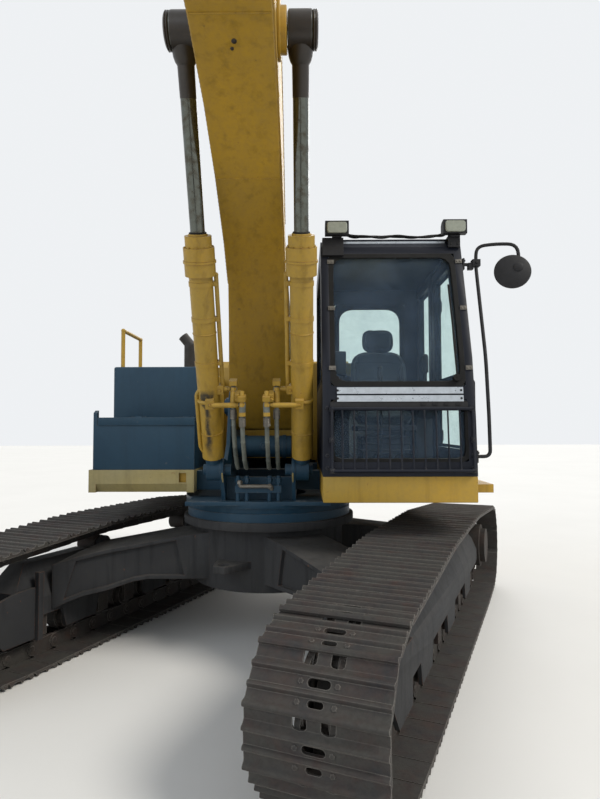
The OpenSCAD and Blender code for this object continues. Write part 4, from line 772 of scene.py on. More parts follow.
SUNS = (  # where from, strength, size in radians, colour
    ("key", (8, -4, 9), 2.2, 0.35, (1.0, 0.96, 0.88)),
    ("fill", (-7, -9, 5), 0.8, 0.9, (0.88, 0.94, 1.0)),
    ("rim", (3, 12, 8), 1.0, 0.5, (1.0, 0.98, 0.95)),
)
SOFT_LIGHT = ((0.90, 0.95, 1.0, 1), 0.55)
BACKDROP = ((0.86, 0.88, 0.90, 1), 1.0)


def background(tree, color, strength):
    """A background shader of the world."""
    node = tree.nodes.new("ShaderNodeBackground")
    node.inputs[0].default_value = color
    node.inputs[1].default_value = strength
    return node.outputs[0]


def either(tree, a, b):
    """1 where one of two masks is."""
    node = tree.nodes.new("ShaderNodeMath")
    node.operation = "MAXIMUM"
    tree.links.new(a, node.inputs[0])
    tree.links.new(b, node.inputs[1])
    return node.outputs[0]


def stage():
    """Pale floor, soft light, three suns, and a white backdrop for the eye, glass and metal."""
    floor_color = plain("floor", (0.74, 0.73, 0.71), 0.8, 0.0, 0.04, 0.6, 0.02, dust=0.0)
    bpy.ops.mesh.primitive_plane_add(size=80, location=(0, 8, -0.002))
    floor = bpy.context.object
    floor.name = "floor"
    floor.data.materials.append(floor_color)
    world = bpy.data.worlds.new("studio")
    bpy.context.scene.world = world
    world.use_nodes = True
    tree = world.node_tree
    tree.nodes.clear()
    ray = tree.nodes.new("ShaderNodeLightPath").outputs
    seen = either(tree, either(tree, ray["Is Camera Ray"], ray["Is Transmission Ray"]), ray["Is Glossy Ray"])
    mix = tree.nodes.new("ShaderNodeMixShader")
    for socket, value in zip(mix.inputs, (seen, background(tree, *SOFT_LIGHT), background(tree, *BACKDROP))):
        tree.links.new(value, socket)
    tree.links.new(mix.outputs[0], tree.nodes.new("ShaderNodeOutputWorld").inputs[0])
    for name, at, power, size, color in SUNS:
        data = bpy.data.lights.new(name, "SUN")
        data.energy = power
        data.angle = size
        data.color = color
        obj = bpy.data.objects.new(name, data)
        obj.location = at
        obj.rotation_mode = "QUATERNION"
        obj.rotation_quaternion = Vector(at).to_track_quat("Z", "Y")
        bpy.context.scene.collection.objects.link(obj)


CAM_ANGLES = (-0.426, 2.553, -0.136)
CAM_AT = (0.291, SWING_Y - 4.906, 1.643)
FOCAL_PX = 592.3
PHOTO_PX = 799
SENSOR = 36.0


def camera():
    """The camera fitted to the photo; its angles are yaw, pitch and roll."""
    data = bpy.data.cameras.new("camera")
    obj = bpy.data.objects.new("camera", data)
    bpy.context.scene.collection.objects.link(obj)
    yaw, pitch, roll = (math.radians(a) for a in CAM_ANGLES)
    ahead = Vector((math.sin(yaw) * math.cos(pitch), math.cos(yaw) * math.cos(pitch), math.sin(pitch)))
    right = Vector((math.cos(yaw), -math.sin(yaw), 0))
    up = right.cross(ahead)
    r, u = right * math.cos(roll) + up * math.sin(roll), up * math.cos(roll) - right * math.sin(roll)
    obj.matrix_world = Matrix(((r.x, u.x, -ahead.x, CAM_AT[0]), (r.y, u.y, -ahead.y, CAM_AT[1]),
                               (r.z, u.z, -ahead.z, CAM_AT[2]), (0, 0, 0, 1)))
    data.sensor_width = SENSOR
    data.lens = FOCAL_PX / PHOTO_PX * SENSOR
    data.clip_start = 0.05
    data.clip_end = 300
    bpy.context.scene.camera = obj


# Boom, arm, bucket and cylinders
def pin_ends(name, body, at, x_out, point, r, material):
    """Round end plates over a pin, each with two bolts and a grease nipple."""
    b = Build(name, at)
    u, v = point
    for e in (-1, 1):
        b.turn([(0, r), (0.010, r), (0.014, r - 0.005)], (e * x_out, -u, v), (e, 0, 0), 32)
        for a in (0, 180):
            q = plus(point, on_circle(r * 0.62, a + 40))
            b.bolt((e * (x_out + 0.012), q[0], q[1]), (e, 0, 0), 0.010)
        b.turn([(0, 0.006), (0.012, 0.006), (0.016, 0.003)], (e * (x_out + 0.012), -u, v), (e, 0, 0), 8)
    b.done(body, material, 0.0015, 1)


def weld(b, a, c, r=0.006, step=0.011):
    """A weld bead between two points (x, ahead, up)."""
    p, q = Build.point(a), Build.point(c)
    n = max(2, int((q - p).length / step))
    rows = [(i / n * (q - p).length, r * (0.86 + 0.14 * math.cos(math.pi * i))) for i in range(n + 1)]
    b.turn(rows, p, q - p, 6)


BOOM_UNDER = [(0.42, 0.010), (0.76, 0.250), (1.036, 0.400), (1.328, 0.498), (1.8, 0.568), (2.257, 0.580),
              (2.761, 0.517), (BOOM_LEN - 0.25, -0.215)]
BOOM_OVER = [(0.45, 0.470), (1.10, 0.930), (1.65, 1.250), (2.05, 1.390), (2.45, 1.420), (2.85, 1.370),
             (3.25, 1.225), (BOOM_LEN - 0.15, 0.190)]


PINS = (  # piece, body, frame, half of its length, middle, radius, material
    ("boom_foot_caps", "house", frame_at(x=BOOM_X), 0.301, FOOT, 0.060, "slate_paint"),
    ("arm_pin_caps", "arm_body", ON_ARM, 0.221, (0, 0), 0.085, "yellow_paint"),
    ("arm_cylinder_eye_caps", "arm_body", ON_ARM, 0.165, on_circle(*ARM_EYE), 0.060, "yellow_paint"),
    ("rocker_foot_caps", "arm_body", ON_ARM, 0.196, ROCKER, 0.058, "yellow_paint"),
    ("bucket_pin_caps", "bucket_body", ON_BUCKET, 0.221, (0, 0), 0.060, "bucket_steel"),
    ("bucket_eye_caps", "bucket_body", ON_BUCKET, 0.216, on_circle(0.44, 7), 0.060, "bucket_steel"),
)


def boom_details():
    """Welds, grease lines and ear plates of the boom, and all pin caps."""
    b = Build("boom_welds", ON_BOOM)
    for outline, lift in ((BOOM_UNDER[2:], 0.014), (BOOM_OVER[1:], -0.014)):
        for e in (-1, 1):
            for p, q in zip(outline, outline[1:]):
                weld(b, (e * BOOM_SIDE, p[0], p[1] + lift), (e * BOOM_SIDE, q[0], q[1] + lift), 0.005, 0.014)
    for u in (1.8, 2.761):
        v = dict(BOOM_UNDER)[u]
        weld(b, (-0.188, u, v - 0.001), (0.188, u, v - 0.001), 0.006)
    b.done("boom_body", "boom_paint", 0, angle=50)
    b = Build("boom_grease_lines", ON_BOOM)
    for off in (0.060, 0.085):
        b.tube([(BOOM_SIDE + 0.003, u, v + off) for u, v in BOOM_UNDER[1:7]], 0.0045, 8, 0.12)
    for u, v in BOOM_UNDER[2:7]:
        b.box((0.194, u - 0.018, v + 0.045), (0.2035, u + 0.018, v + 0.100))
    b.done("boom_body", "boom_paint", 0.002, 1)
    b = Build("boom_ear_plates", ON_BOOM)
    for e in (-1, 1):
        b.turn([(0, 0.150), (0.012, 0.150), (0.016, 0.146)], (e * 0.196, -LIFT_EYE[0], LIFT_EYE[1]), (e, 0, 0), 40)
    b.done("boom_body", "boom_paint", 0.003)
    for row in PINS:
        pin_ends(*row)


def arm_details():
    """Pipes on the arm's back and welds along its edges."""
    b = Build("arm_pipes", ON_ARM)
    for x in (-0.085, 0.085):
        b.tube([(x, 0.85, 0.40), (x, 0.95, 0.43), (x, 1.60, 0.325), (x, 2.25, 0.222), (x, 2.40, 0.165)], 0.013, 10)
        for u, v in ((1.15, 0.40), (1.75, 0.302), (2.15, 0.238)):
            b.box((x - 0.024, u - 0.02, v - 0.10), (x + 0.024, u + 0.02, v + 0.018))
    b.done("arm_body", "yellow_paint", 0.002, 1)
    b = Build("arm_welds", ON_ARM)
    top = [(0.10, 0.455), (0.60, 0.400), (2.65, 0.150)]
    low = [(0.70, -0.190), (2.55, -0.120)]
    for e in (-1, 1):
        for outline, d in ((top, -0.012), (low, 0.012)):
            for p, q in zip(outline, outline[1:]):
                weld(b, (e * ARM_SIDE, p[0], p[1] + d), (e * ARM_SIDE, q[0], q[1] + d), 0.005, 0.014)
    b.done("arm_body", "boom_paint", 0, angle=50)


def bucket_details():
    """Side cutters, wear strips and tooth adapters."""
    b = Build("bucket_wear_parts", ON_BUCKET)
    for e in (-1, 1):
        x = e * BUCKET_SIDE
        b.plate([(-0.030, -1.300), (0.075, -1.215), (0.050, -1.020), (-0.185, -0.860), (-0.185, -0.960),
                 (-0.100, -1.080)], x, 0.020)
        for p in ((-0.02, -1.20), (0.0, -1.08), (-0.11, -0.96)):
            b.bolt((e * (BUCKET_SIDE + 0.010), p[0], p[1]), (e, 0, 0), 0.016)
    for x in (-0.40, -0.13, 0.13, 0.40):
        inner, outer = ([plus((0.190, -0.570), on_circle(r, a)) for a in range(-50, 60, 10)]
                        for r in (0.472, 0.486))
        b.plate(inner + outer[::-1], x, 0.060)
    b.done("bucket_body", "bucket_steel", 0.004)
    b = Build("tooth_adapters", ON_BUCKET)
    for k in range(5):
        x = (k / 4 - 0.5) * 1.09
        b.plate([(-0.074, -1.255), (-0.070, -1.345), (-0.055, -1.375), (0.026, -1.375), (0.050, -1.340),
                 (0.140, -1.215), (0.125, -1.195), (-0.028, -1.290)], x, 0.105)
        b.rod((x - 0.060, -0.020, -1.350), (x + 0.060, -0.020, -1.350), 0.013, 10, 0.003)
    b.done("bucket_body", "bucket_steel", 0.008)


LIFT_REACH = math.dist(LIFT_FOOT, LIFT_PIN)
CYLINDERS = (  # name, barrel's and rod's body, frame, x places, barrel's length and radius, rod's radius,
    # radius and width of the rod's eye, distance between the eyes
    ("lift_cylinder", "boom_barrel_body", "boom_rod_body", ON_LIFT, (-LIFT_X, LIFT_X),
     1.640, 0.075, 0.045, 0.100, 0.126, LIFT_REACH),
    ("arm_cylinder", "arm_barrel_body", "arm_rod_body", ON_ARM_CYL, (0,),
     1.840, 0.085, 0.050, 0.088, 0.106, math.dist(ARM_CYL_AT, ARM_EYE_AT)),
    ("bucket_cylinder", "bucket_barrel_body", "bucket_rod_body", ON_BUCKET_CYL, (0,),
     1.440, 0.072, 0.043, 0.074, 0.096, math.dist(BUCKET_CYL_AT, ROCKER_PIN)),
)


def cylinder_details(name, body, rod_body, at, places, length, r, rod_r, eye, width, reach):
    """Gland bolts, wiper and weld rings on the barrels, seals on the rods and grease at the rods' eyes."""
    b = Build(name + "_glands", at)
    for x in places:
        for k in range(10):
            a = math.radians(36 * k + 18)
            o = r + 0.011
            b.bolt((x + o * math.cos(a), length - 0.071, o * math.sin(a)), (0, 1, 0), 0.0085, False)
        b.turn([(0, rod_r + 0.016), (0.010, rod_r + 0.014), (0.014, rod_r + 0.003), (0.013, rod_r + 0.0012),
                (0, rod_r + 0.0012)], (x, -length, 0), (0, -1, 0), 28, True)
        for d, t in ((length - 0.247, 0.010), (0.30, 0.006), (length * 0.62, 0.006)):
            b.turn([(0, r), (t * 0.3, r + t * 0.7), (t * 1.2, r + t * 0.7), (t * 1.6, r), (t * 1.5, r - 0.002),
                    (t * 0.1, r - 0.002)], (x, -d, 0), (0, -1, 0), 32, True)
    b.done(body, "yellow_paint", 0.001, 1)
    b = Build(name + "_rod_seals", at)
    for x in places:
        b.turn([(0, rod_r + 0.009), (0.018, rod_r + 0.009), (0.022, rod_r + 0.0018), (0.021, rod_r + 0.0008),
                (0, rod_r + 0.0008)], (x, -length, 0), (0, -1, 0), 28, True)
    b.done(body, "seal", 0)
    b = Build(name + "_eye_greases", at)
    for x in places:
        for e in (-1, 1):
            b.turn([(0, eye - 0.002), (0.006, eye - 0.002), (0.012, eye - 0.014)],
                   (x + e * (width / 2 - 0.006), -reach, 0), (e, 0, 0), 32)
    b.done(rod_body, "grease", 0)


PORT_LOW = 0.554
PORT_HIGH = 0.630
HOSES_X = (0.082, 0.146)
STUBS = (  # place across, ahead and up, pipe's radius, its run from there
    (HOSES_X[0], PORT_LOW, -0.105, 0.0155, ((-0.01, -0.012), (0.055, 0.010), (0.085, 0.030))),
    (HOSES_X[1], PORT_HIGH, -0.0085, 0.0225, ((-0.085, -0.054), (-0.040, -0.028), (-0.002, 0.001))),
)
SLEEVES = ((HOSES_X[0], (0.478, -0.1445), (0.412, -0.1525)), (HOSES_X[1], (0.505, -0.077), (0.445, -0.0985)))


def lift_pipes():
    """Clamps, ports, fittings and sleeves of the pipes and hoses on the boom cylinders."""
    b = Build("lift_pipe_clamps", ON_LIFT)
    for e in (-1, 1):
        x = e * LIFT_X
        for d in (0.80, 1.10, 1.33):
            b.turn([(0, 0.079), (0.030, 0.079), (0.030, 0.073), (0, 0.073)], (x, -d, 0), (0, -1, 0), 32, True)
            b.box((x - e * 0.074, d, -0.020), (x - e * 0.106, d + 0.030, 0.020))
            b.bolt((x - e * 0.090, d + 0.030, 0.0), (0, 1, 0), 0.007)
        b.box((x - e * 0.055, PORT_HIGH - 0.030, -0.040), (x - e * 0.105, PORT_HIGH + 0.030, 0.018))
        b.box((x - e * 0.045, PORT_LOW - 0.034, -0.112), (x + e * 0.012, PORT_LOW + 0.030, -0.060))
        b.tube([(x - e * 0.020, PORT_LOW, -0.088), (x + e * 0.048, PORT_LOW, -0.068),
                (x + e * 0.070, PORT_LOW, -0.030)], 0.014, 12, 0.02)
        b.bolt((x - e * 0.080, PORT_HIGH, -0.040), (0, 0, -1), 0.009)
        b.bolt((x - e * 0.020, PORT_LOW, -0.112), (0, 0, -1), 0.009)
        b.tube([(x - e * 0.075, PORT_HIGH, -0.012), (e * 0.186, PORT_HIGH, -0.012)], 0.0185, 14)
        b.tube([(x - e * 0.035, PORT_LOW - 0.004, -0.107), (e * 0.122, PORT_LOW - 0.004, -0.107)], 0.0175, 14)
    b.done("boom_barrel_body", "yellow_paint", 0.002)
    b = Build("hose_fittings", ON_LIFT)
    for e in (-1, 1):
        for hose_x, u, v, r, stub in STUBS:
            x = e * hose_x
            b.tube([(x, u + p, v + q) for p, q in stub], r, 14, 0.04)
            b.turn([(0, 0.025), (0.026, 0.025)], (x, -(u - 0.045), v - 0.030), (0, 1, -0.35), 6)
            b.turn([(0, 0.021), (0.022, 0.021), (0.026, 0.018)], (x, -(u + 0.012), v - 0.006), (0, 1, -0.35), 6)
            b.box((x - 0.026, u + 0.028, v - 0.022), (x + 0.026, u + 0.062, v + 0.034))
        b.box((e * 0.098, PORT_LOW + 0.020, -0.105), (e * 0.130, PORT_HIGH - 0.006, -0.020))
        b.bolt((e * 0.114, (PORT_LOW + PORT_HIGH) / 2, -0.102), (0, -0.3, -1), 0.015)
    b.done("boom_barrel_body", "yellow_paint", 0.0015, 1)
    b = Build("hose_sleeves", ON_LIFT)
    for e in (-1, 1):
        for hx, a, c in SLEEVES:
            d = Vector((0, -(c[0] - a[0]), c[1] - a[1]))
            rows = []
            for k in range(6):
                rows += [(k * 0.011, 0.0235), (k * 0.011 + 0.007, 0.0235), (k * 0.011 + 0.009, 0.0215)]
            b.turn(rows, (e * hx, -a[0], a[1]), d, 18)
    b.done("boom_barrel_body", "bolt_steel", 0)
    b = Build("barrel_outer_pipe", ON_LIFT)
    x = -LIFT_X - 0.080
    b.tube([(x + 0.030, 0.640, -0.030), (x, 0.600, -0.034), (x, 0.190, -0.034),
            (x + 0.040, 0.130, -0.020)], 0.013, 12)
    b.done("boom_barrel_body", "yellow_paint", 0)


def lift_eyes():
    """Greased eyes of the boom cylinders' rods, and dark slate rings over the eyes at their feet as painted shade.
    """
    b = Build("rod_greases", ON_LIFT)
    for e in (-1, 1):
        x = e * LIFT_X
        b.turn([(0, 0.0985), (0.004, 0.1015), (0.122, 0.1015), (0.126, 0.0985)], (x - 0.063, -LIFT_REACH, 0),
               (1, 0, 0), 40)
        rim = [(0.062, 0.084), (0.066, 0.096), (0.074, 0.101), (0.080, 0.096), (0.086, 0.102), (0.092, 0.094),
               (0.096, 0.086)]
        b.turn(rim, (x, -LIFT_REACH, 0), (e, 0, 0), 26)
        b.turn([(0.07, 0.074), (0.125, 0.066), (0.150, 0.058), (0.165, 0.048), (0.32, 0.0465), (0.33, 0.0458)],
               (x, -LIFT_REACH, 0), (0, 1, 0), 32)
    b.done("boom_rod_body", "grease", 0.003, 1)
    # Dark slate rings over the foot eyes: painted shade, standing for the shadow under the barrels.
    b = Build("lift_foot_eye_shade_rings", ON_LIFT)
    for e in (-1, 1):
        b.turn([(0, 0.076), (0.003, 0.0795), (0.097, 0.0795), (0.100, 0.076)], (e * LIFT_X - 0.050, 0, 0),
               (1, 0, 0), 36)
        b.turn([(0.06, 0.055), (0.088, 0.058), (0.112, 0.055)], (e * LIFT_X, 0, 0), (0, -1, 0), 28)
    b.done("boom_barrel_body", "slate_paint", 0.002, 1)


def foot_details():
    """Cross tube, ears and pipe in front of the boom's foot, and small plugs and notches."""
    b = Build("foot_cross_tube")
    b.turn([(0, 0.080), (0.006, 0.086), (0.462, 0.086), (0.468, 0.080)], (BOOM_X - 0.234, -0.150, 1.480),
           (1, 0, 0), 40)
    b.turn([(0.080, 0.034), (0.094, 0.034), (0.098, 0.029)], (-0.026, -0.150, 1.480), (0, -1, 0.05), 28)
    b.bolt((-0.026, 0.246, 1.484), (0, 1, 0.05), 0.013)
    for x in (-0.20, 0.115):
        b.turn([(0, 0.092), (0.030, 0.092)], (x, -0.150, 1.480), (1, 0, 0), 40)
    b.done("house", "slate_paint", 0.002, 1)
    b = Build("frame_front_ears")
    for e in (-1, 1):
        arcs = ((0.088, range(-60, -4, 8)), (0.076, range(-12, -61, -8)))
        outline = [plus(LIFT_FOOT, on_circle(r, a)) for r, order in arcs for a in order]
        b.plate(outline + [(0.600, 1.190), (0.614, 1.190)], BOOM_X + e * 0.250, 0.012)
    b.done("house", "deck_paint", 0.003)
    b = Build("boom_plugs", ON_BOOM)
    for x, u, v, r in ((0.005, 2.626, 0.534, 0.013), (-0.009, 2.588, 0.539, 0.009)):
        b.turn([(0, r), (0.003, r), (0.0045, r - 0.003)], (x, -u, v), (0, 0.124, -0.992), 20)
    b.done("boom_body", "grease", 0)
    b = Build("deck_notch_back")
    b.box((-0.668, 0.412, 1.200), (-0.588, 0.404, 1.304))
    b.box((-0.664, 0.428, 1.206), (-0.658, 0.404, 1.300))
    b.done("house", "boom_paint", 0.001, 1)
    b = Build("valve_pipe_bend")
    b.tube([(-0.173, 0.652, 1.255), (-0.173, 0.652, 1.212), (0.054, 0.652, 1.212), (0.054, 0.640, 1.188)],
           0.014, 14, 0.03)
    b.turn([(0, 0.021), (0.018, 0.021)], (-0.173, -0.652, 1.230), (0, 0, 1), 6)
    b.turn([(0, 0.020), (0.020, 0.020)], (0.030, -0.652, 1.212), (1, 0, 0), 6)
    b.done("house", "bolt_steel", 0)


# Cab
CAB_LINE = [(1.063, 1.315), (1.035, 1.700), (0.972, 2.094), (0.850, 2.500), (0.715, 2.920), (0.640, 2.980)]


def cab_face(z):
    """How far ahead the cab's front face is at a height."""
    for (s0, z0), (s1, z1) in zip(CAB_LINE, CAB_LINE[1:]):
        if z <= z1:
            return s0 + (s1 - s0) * (z - z0) / (z1 - z0)
    return CAB_LINE[-1][0]


def face_ring(b, x0, x1, z0, z1, r_out, r_in, width, depth, proud, face=cab_face):
    """A frame of rounded outline that follows the curved front."""
    loops = []
    for d, r in ((0, r_out), (width, r_in)):
        corners = [(x0 + d, z0 + d), (x1 - d, z0 + d), (x1 - d, z1 - d), (x0 + d, z1 - d)]
        loops.append(resample(dense(rounded(corners, r, 7), 0.06), 96))
    outer, inner = loops
    b.skin([[(x, -(face(z) + out), z) for x, z in row]
            for row, out in ((outer, proud), (inner, proud), (inner, proud - depth), (outer, proud - depth))], True)


def dense(points, step):
    """A closed outline with more points on its long sides."""
    result = []
    for p, q in zip(points, points[1:] + points[:1]):
        n = max(1, int(math.dist(p, q) / step))
        result += [(p[0] + (q[0] - p[0]) * i / n, p[1] + (q[1] - p[1]) * i / n) for i in range(n)]
    return result


def resample(points, n):
    """n points along a closed outline, by angle round its middle, so that two outlines match."""
    cx = (min(p[0] for p in points) + max(p[0] for p in points)) / 2
    cz = (min(p[1] for p in points) + max(p[1] for p in points)) / 2
    result = []
    for k in range(n):
        a = 2 * math.pi * k / n
        d = (math.cos(a), math.sin(a))
        best = 0
        for p, q in zip(points, points[1:] + points[:1]):
            ex, ez = q[0] - p[0], q[1] - p[1]
            det = d[0] * -ez + d[1] * ex
            if abs(det) < 1e-12:
                continue
            px, pz = p[0] - cx, p[1] - cz
            t = (px * -ez + pz * ex) / det
            w = (d[0] * pz - d[1] * px) / det
            if t > 0 and -1e-9 <= w <= 1 + 1e-9:
                best = max(best, t)
        result.append((cx + d[0] * best, cz + d[1] * best))
    return result


def cab_front():
    """Window seals, sill bands with their clips, guard, tabs and corner bolts."""
    b = Build("cab_window_seals")
    face_ring(b, CAB_X - CAB_EDGE, CAB_X + CAB_EDGE, 1.903, 2.867, 0.03, 0.085, 0.034, 0.040, 0.002)
    face_ring(b, CAB_X - CAB_EDGE, CAB_X + CAB_EDGE, 1.408, 1.817, 0.02, 0.045, 0.022, 0.040, 0.002)
    face_ring(b, CAB_X - 0.332, CAB_X + 0.332, 2.058, 2.792, 0.03, 0.140, 0.045, 0.050, 0.052, lambda z: -0.720)
    b.done("house", "seal", 0.003, 1)
    b = Build("cab_sill_bands")
    for z0, z1 in ((1.852, 1.897), (1.800, 1.843)):
        b.plate([(cab_face(z0) + 0.001, z0), (cab_face(z0) + 0.009, z0), (cab_face(z1) + 0.009, z1),
                 (cab_face(z1) + 0.001, z1)], CAB_X + 0.010, 0.830)
    b.done("house", "band", 0.002, 1)
    b = Build("cab_band_clips")
    b.plate([(cab_face(1.742) + 0.001, 1.742), (cab_face(1.742) + 0.007, 1.742), (cab_face(1.797) + 0.007, 1.797),
             (cab_face(1.797) + 0.001, 1.797)], CAB_X, 0.900)
    for k in range(4):
        x = CAB_X + 0.145 + k * 0.076
        b.box((x, cab_face(1.782) + 0.006, 1.776), (x + 0.030, cab_face(1.782) + 0.012, 1.792))
    for x in (-0.40, 0.41):
        for z in (1.822, 1.875):
            b.bolt((CAB_X + x, cab_face(z) + 0.008, z), (0, 1, 0.15), 0.006)
    b.done("house", "trim", 0)
    guard()
    b = Build("cab_front_tabs")
    for x in (CAB_X - 0.432, CAB_X + 0.473):
        for z in (2.803, 2.450, 2.027):
            b.box((x - 0.023, cab_face(z) - 0.01, z - 0.014), (x + 0.023, cab_face(z) + 0.010, z + 0.014))
            for d in (-0.011, 0.011):
                b.bolt((x + d, cab_face(z) + 0.009, z), (0, 1, 0.25), 0.006)
    b.done("house", "bolt_steel", 0.002, 1)
    b = Build("cab_corner_bolts")
    for z in (1.37, 1.45, 1.76):
        for e in (-1, 1):
            b.bolt((CAB_X + e * 0.472, cab_face(z) + 0.001, z), (0, 1, 0.07), 0.010)
    b.done("house", "cab_paint", 0.002, 1)


def cab_roof():
    """Plates, a pale strip and cables on the roof."""
    b = Build("cab_roof_trim")
    b.box((CAB_X - 0.47, 0.655, CAB_TOP - 0.004), (CAB_X + 0.47, 0.615, CAB_TOP + 0.016))
    b.box((CAB_X - 0.38, 0.30, CAB_TOP), (CAB_X + 0.38, -0.42, CAB_TOP + 0.022))
    b.done("house", "cab_paint", 0.006)
    b = Build("cab_roof_strip")
    b.box((CAB_X - 0.40, 0.662, CAB_TOP - 0.022), (CAB_X + 0.40, 0.654, CAB_TOP - 0.002))
    b.done("house", "band", 0.002, 1)
    b = Build("roof_cables")
    wave = [(-0.34, 0.055), (-0.26, 0.018), (-0.16, 0.030), (-0.05, 0.016), (0.05, 0.026), (0.16, 0.016),
            (0.30, 0.020), (0.40, 0.034), (0.44, 0.070)]
    for off, r in ((0.0, 0.0085), (0.018, 0.007), (0.034, 0.006)):
        b.tube([(CAB_X + x, 0.640 - off,
                 CAB_TOP + 0.022 + (z + 0.012 * math.sin(x * 19 + off * 90)) * 0.8 + off * 0.3)
                for x, z in wave], r, 8, 0.05)
    b.done("house", "seal", 0)


LAMPS = [(CAB_X - 0.385, CAB_TOP + 0.064), (CAB_X + 0.450, CAB_TOP + 0.070)]


def work_lamps():
    """Cases on their brackets, and lenses."""
    b = Build("work_lamp_cases")
    for x, z in LAMPS:
        b.plate([(LAMP_FACE, z - 0.050), (LAMP_FACE, z + 0.050), (0.715, z + 0.044), (0.692, z + 0.024),
                 (0.692, z - 0.030), (0.715, z - 0.047)], x, 0.168)
        b.box((x - 0.020, 0.735, CAB_TOP + 0.002), (x + 0.020, 0.715, z - 0.035))
        b.box((x - 0.034, 0.760, CAB_TOP + 0.001), (x + 0.034, 0.600, CAB_TOP + 0.009))
        b.bolt((x, 0.640, CAB_TOP + 0.008), (0, 0, 1), 0.008)
    b.box((1.318, 0.740, 2.912), (1.402, 0.722, CAB_TOP + 0.035))
    b.box((1.318, 0.740, CAB_TOP + 0.004), (1.402, 0.650, CAB_TOP + 0.014))
    for x in (1.336, 1.384):
        b.bolt((x, 0.738, 2.935), (0, 1, 0.1), 0.007)
    b.plate([(cab_face(2.845) + 0.001, 2.845), (cab_face(2.845) + 0.022, 2.850), (cab_face(2.915) + 0.030, 2.915),
             (0.735, CAB_TOP + 0.004), (0.650, CAB_TOP + 0.012), (0.650, CAB_TOP + 0.001),
             (0.716, 2.918)], 0.497, 0.150)
    b.done("house", "trim", 0.012, 3, replaces=("work_lamps",))
    b = Build("work_lamp_lenses")
    for x, z in LAMPS:
        outline = rounded([(-0.071, -0.040), (0.071, -0.040), (0.071, 0.040), (-0.071, 0.040)], 0.022, 5)
        b.skin([[(x + p[0] * k, -(LAMP_FACE + d), z + p[1] * k) for p in outline]
                for k, d in ((1, -0.004), (1, 0.006), (0.93, 0.012))])
    b.done("house", "lamp", 0)


def wiper():
    """Motor, arm and blade at the front window."""
    b = Build("wiper")
    b.turn([(0, 0.026), (0.030, 0.024)], (CAB_X + 0.385, -(cab_face(1.955) + 0.002), 1.955), (0, -1, 0.2), 20)
    b.tube([(CAB_X + 0.385, cab_face(1.955) + 0.030, 1.955), (CAB_X + 0.380, cab_face(2.2) + 0.026, 2.20),
            (CAB_X + 0.384, cab_face(2.36) + 0.020, 2.36)], 0.006, 8)
    b.tube([(CAB_X + 0.390, cab_face(2.12) + 0.011, 2.12), (CAB_X + 0.382, cab_face(2.62) + 0.012, 2.62)], 0.007, 8)
    b.done("house", "seal", 0)


def guard():
    """Bars in front of the lower window."""
    b = Build("guard_bars")
    low, middle, high = 1.352, 1.55, 1.752
    left, right = 0.470, 1.384
    proud = 0.026

    def bar(x, z, more=0.0):
        """A point on the guard's plane, or ahead of it."""
        return (x, cab_face(z) + proud + more, z)

    for k in range(11):
        x = 0.537 + k * 0.076
        b.tube([bar(x, low), bar(x, middle), bar(x, high)], 0.0058, 8)
    for z in (low, high):
        b.rod(bar(left - 0.008, z), bar(right + 0.008, z), 0.012, 12, 0.003)
    for x in (left, right):
        b.tube([bar(x, low), bar(x, high)], 0.009, 10)
        for z in (low, high, middle):
            b.box((x - 0.017, cab_face(z) + proud + 0.004, z - 0.015), (x + 0.017, cab_face(z) + 0.0005, z + 0.015))
            b.bolt(bar(x, z, 0.008), (0, 1, 0.07), 0.008)
    b.done("house", "cab_paint", 0.0015, 1, replaces=("front_guard",))


def mirror():
    """Round mirror on its bent tube, with clamps at the cab."""
    b = Build("mirror_arm")
    x = MIRROR_X
    b.tube([(CAB_SIDE_X + 0.004, 1.000, 1.440), (x, 1.000, 1.440), (x, 0.985, 1.700), (x, 0.935, 2.094),
            (x, 0.735, 2.785), (x + 0.006, 0.735, 2.915), (1.640, 0.760, 2.925), (1.790, 0.790, 2.915),
            (1.796, 0.800, 2.740)], 0.0122, 14, 0.09)
    b.rod((CAB_SIDE_X + 0.004, 0.735, 2.785), (x + 0.01, 0.735, 2.785), 0.012, 12)
    for s, z in ((0.735, 2.785), (1.000, 1.440)):
        b.box((CAB_SIDE_X + 0.003, s + 0.028, z - 0.040), (CAB_SIDE_X + 0.015, s - 0.028, z + 0.040))
        b.bolt((CAB_SIDE_X + 0.014, s + 0.016, z + 0.024), (1, 0, 0), 0.008)
        b.bolt((CAB_SIDE_X + 0.014, s - 0.016, z - 0.024), (1, 0, 0), 0.008)
    b.box((x - 0.028, 0.762, 2.770), (x + 0.028, 0.706, 2.818))
    b.box((x - 0.056, 0.756, 2.748), (x - 0.020, 0.714, 2.794))
    b.bolt((x, 0.762, 2.794), (0, 1, 0), 0.009)
    b.done("house", "trim", 0.003, replaces=("side_mirror",))
    b = Build("mirror_head")
    a, c = math.radians(80), math.radians(-12)
    axis = Vector((math.sin(c) * math.sin(a), -math.cos(c) * math.sin(a), math.cos(a)))
    base = Vector((1.745, -0.800, 2.710))
    b.turn([(0.001, 0.112), (0.004, 0.119), (0.010, 0.1235), (0.020, 0.1245), (0.024, 0.119), (0.0245, 0.0)],
           base, axis, 48)
    b.turn([(0.023, 0.036), (0.030, 0.034), (0.036, 0.020)], base + Vector((0.040, 0, 0.030)), axis, 24)
    b.done("house", "trim", 0, angle=50)


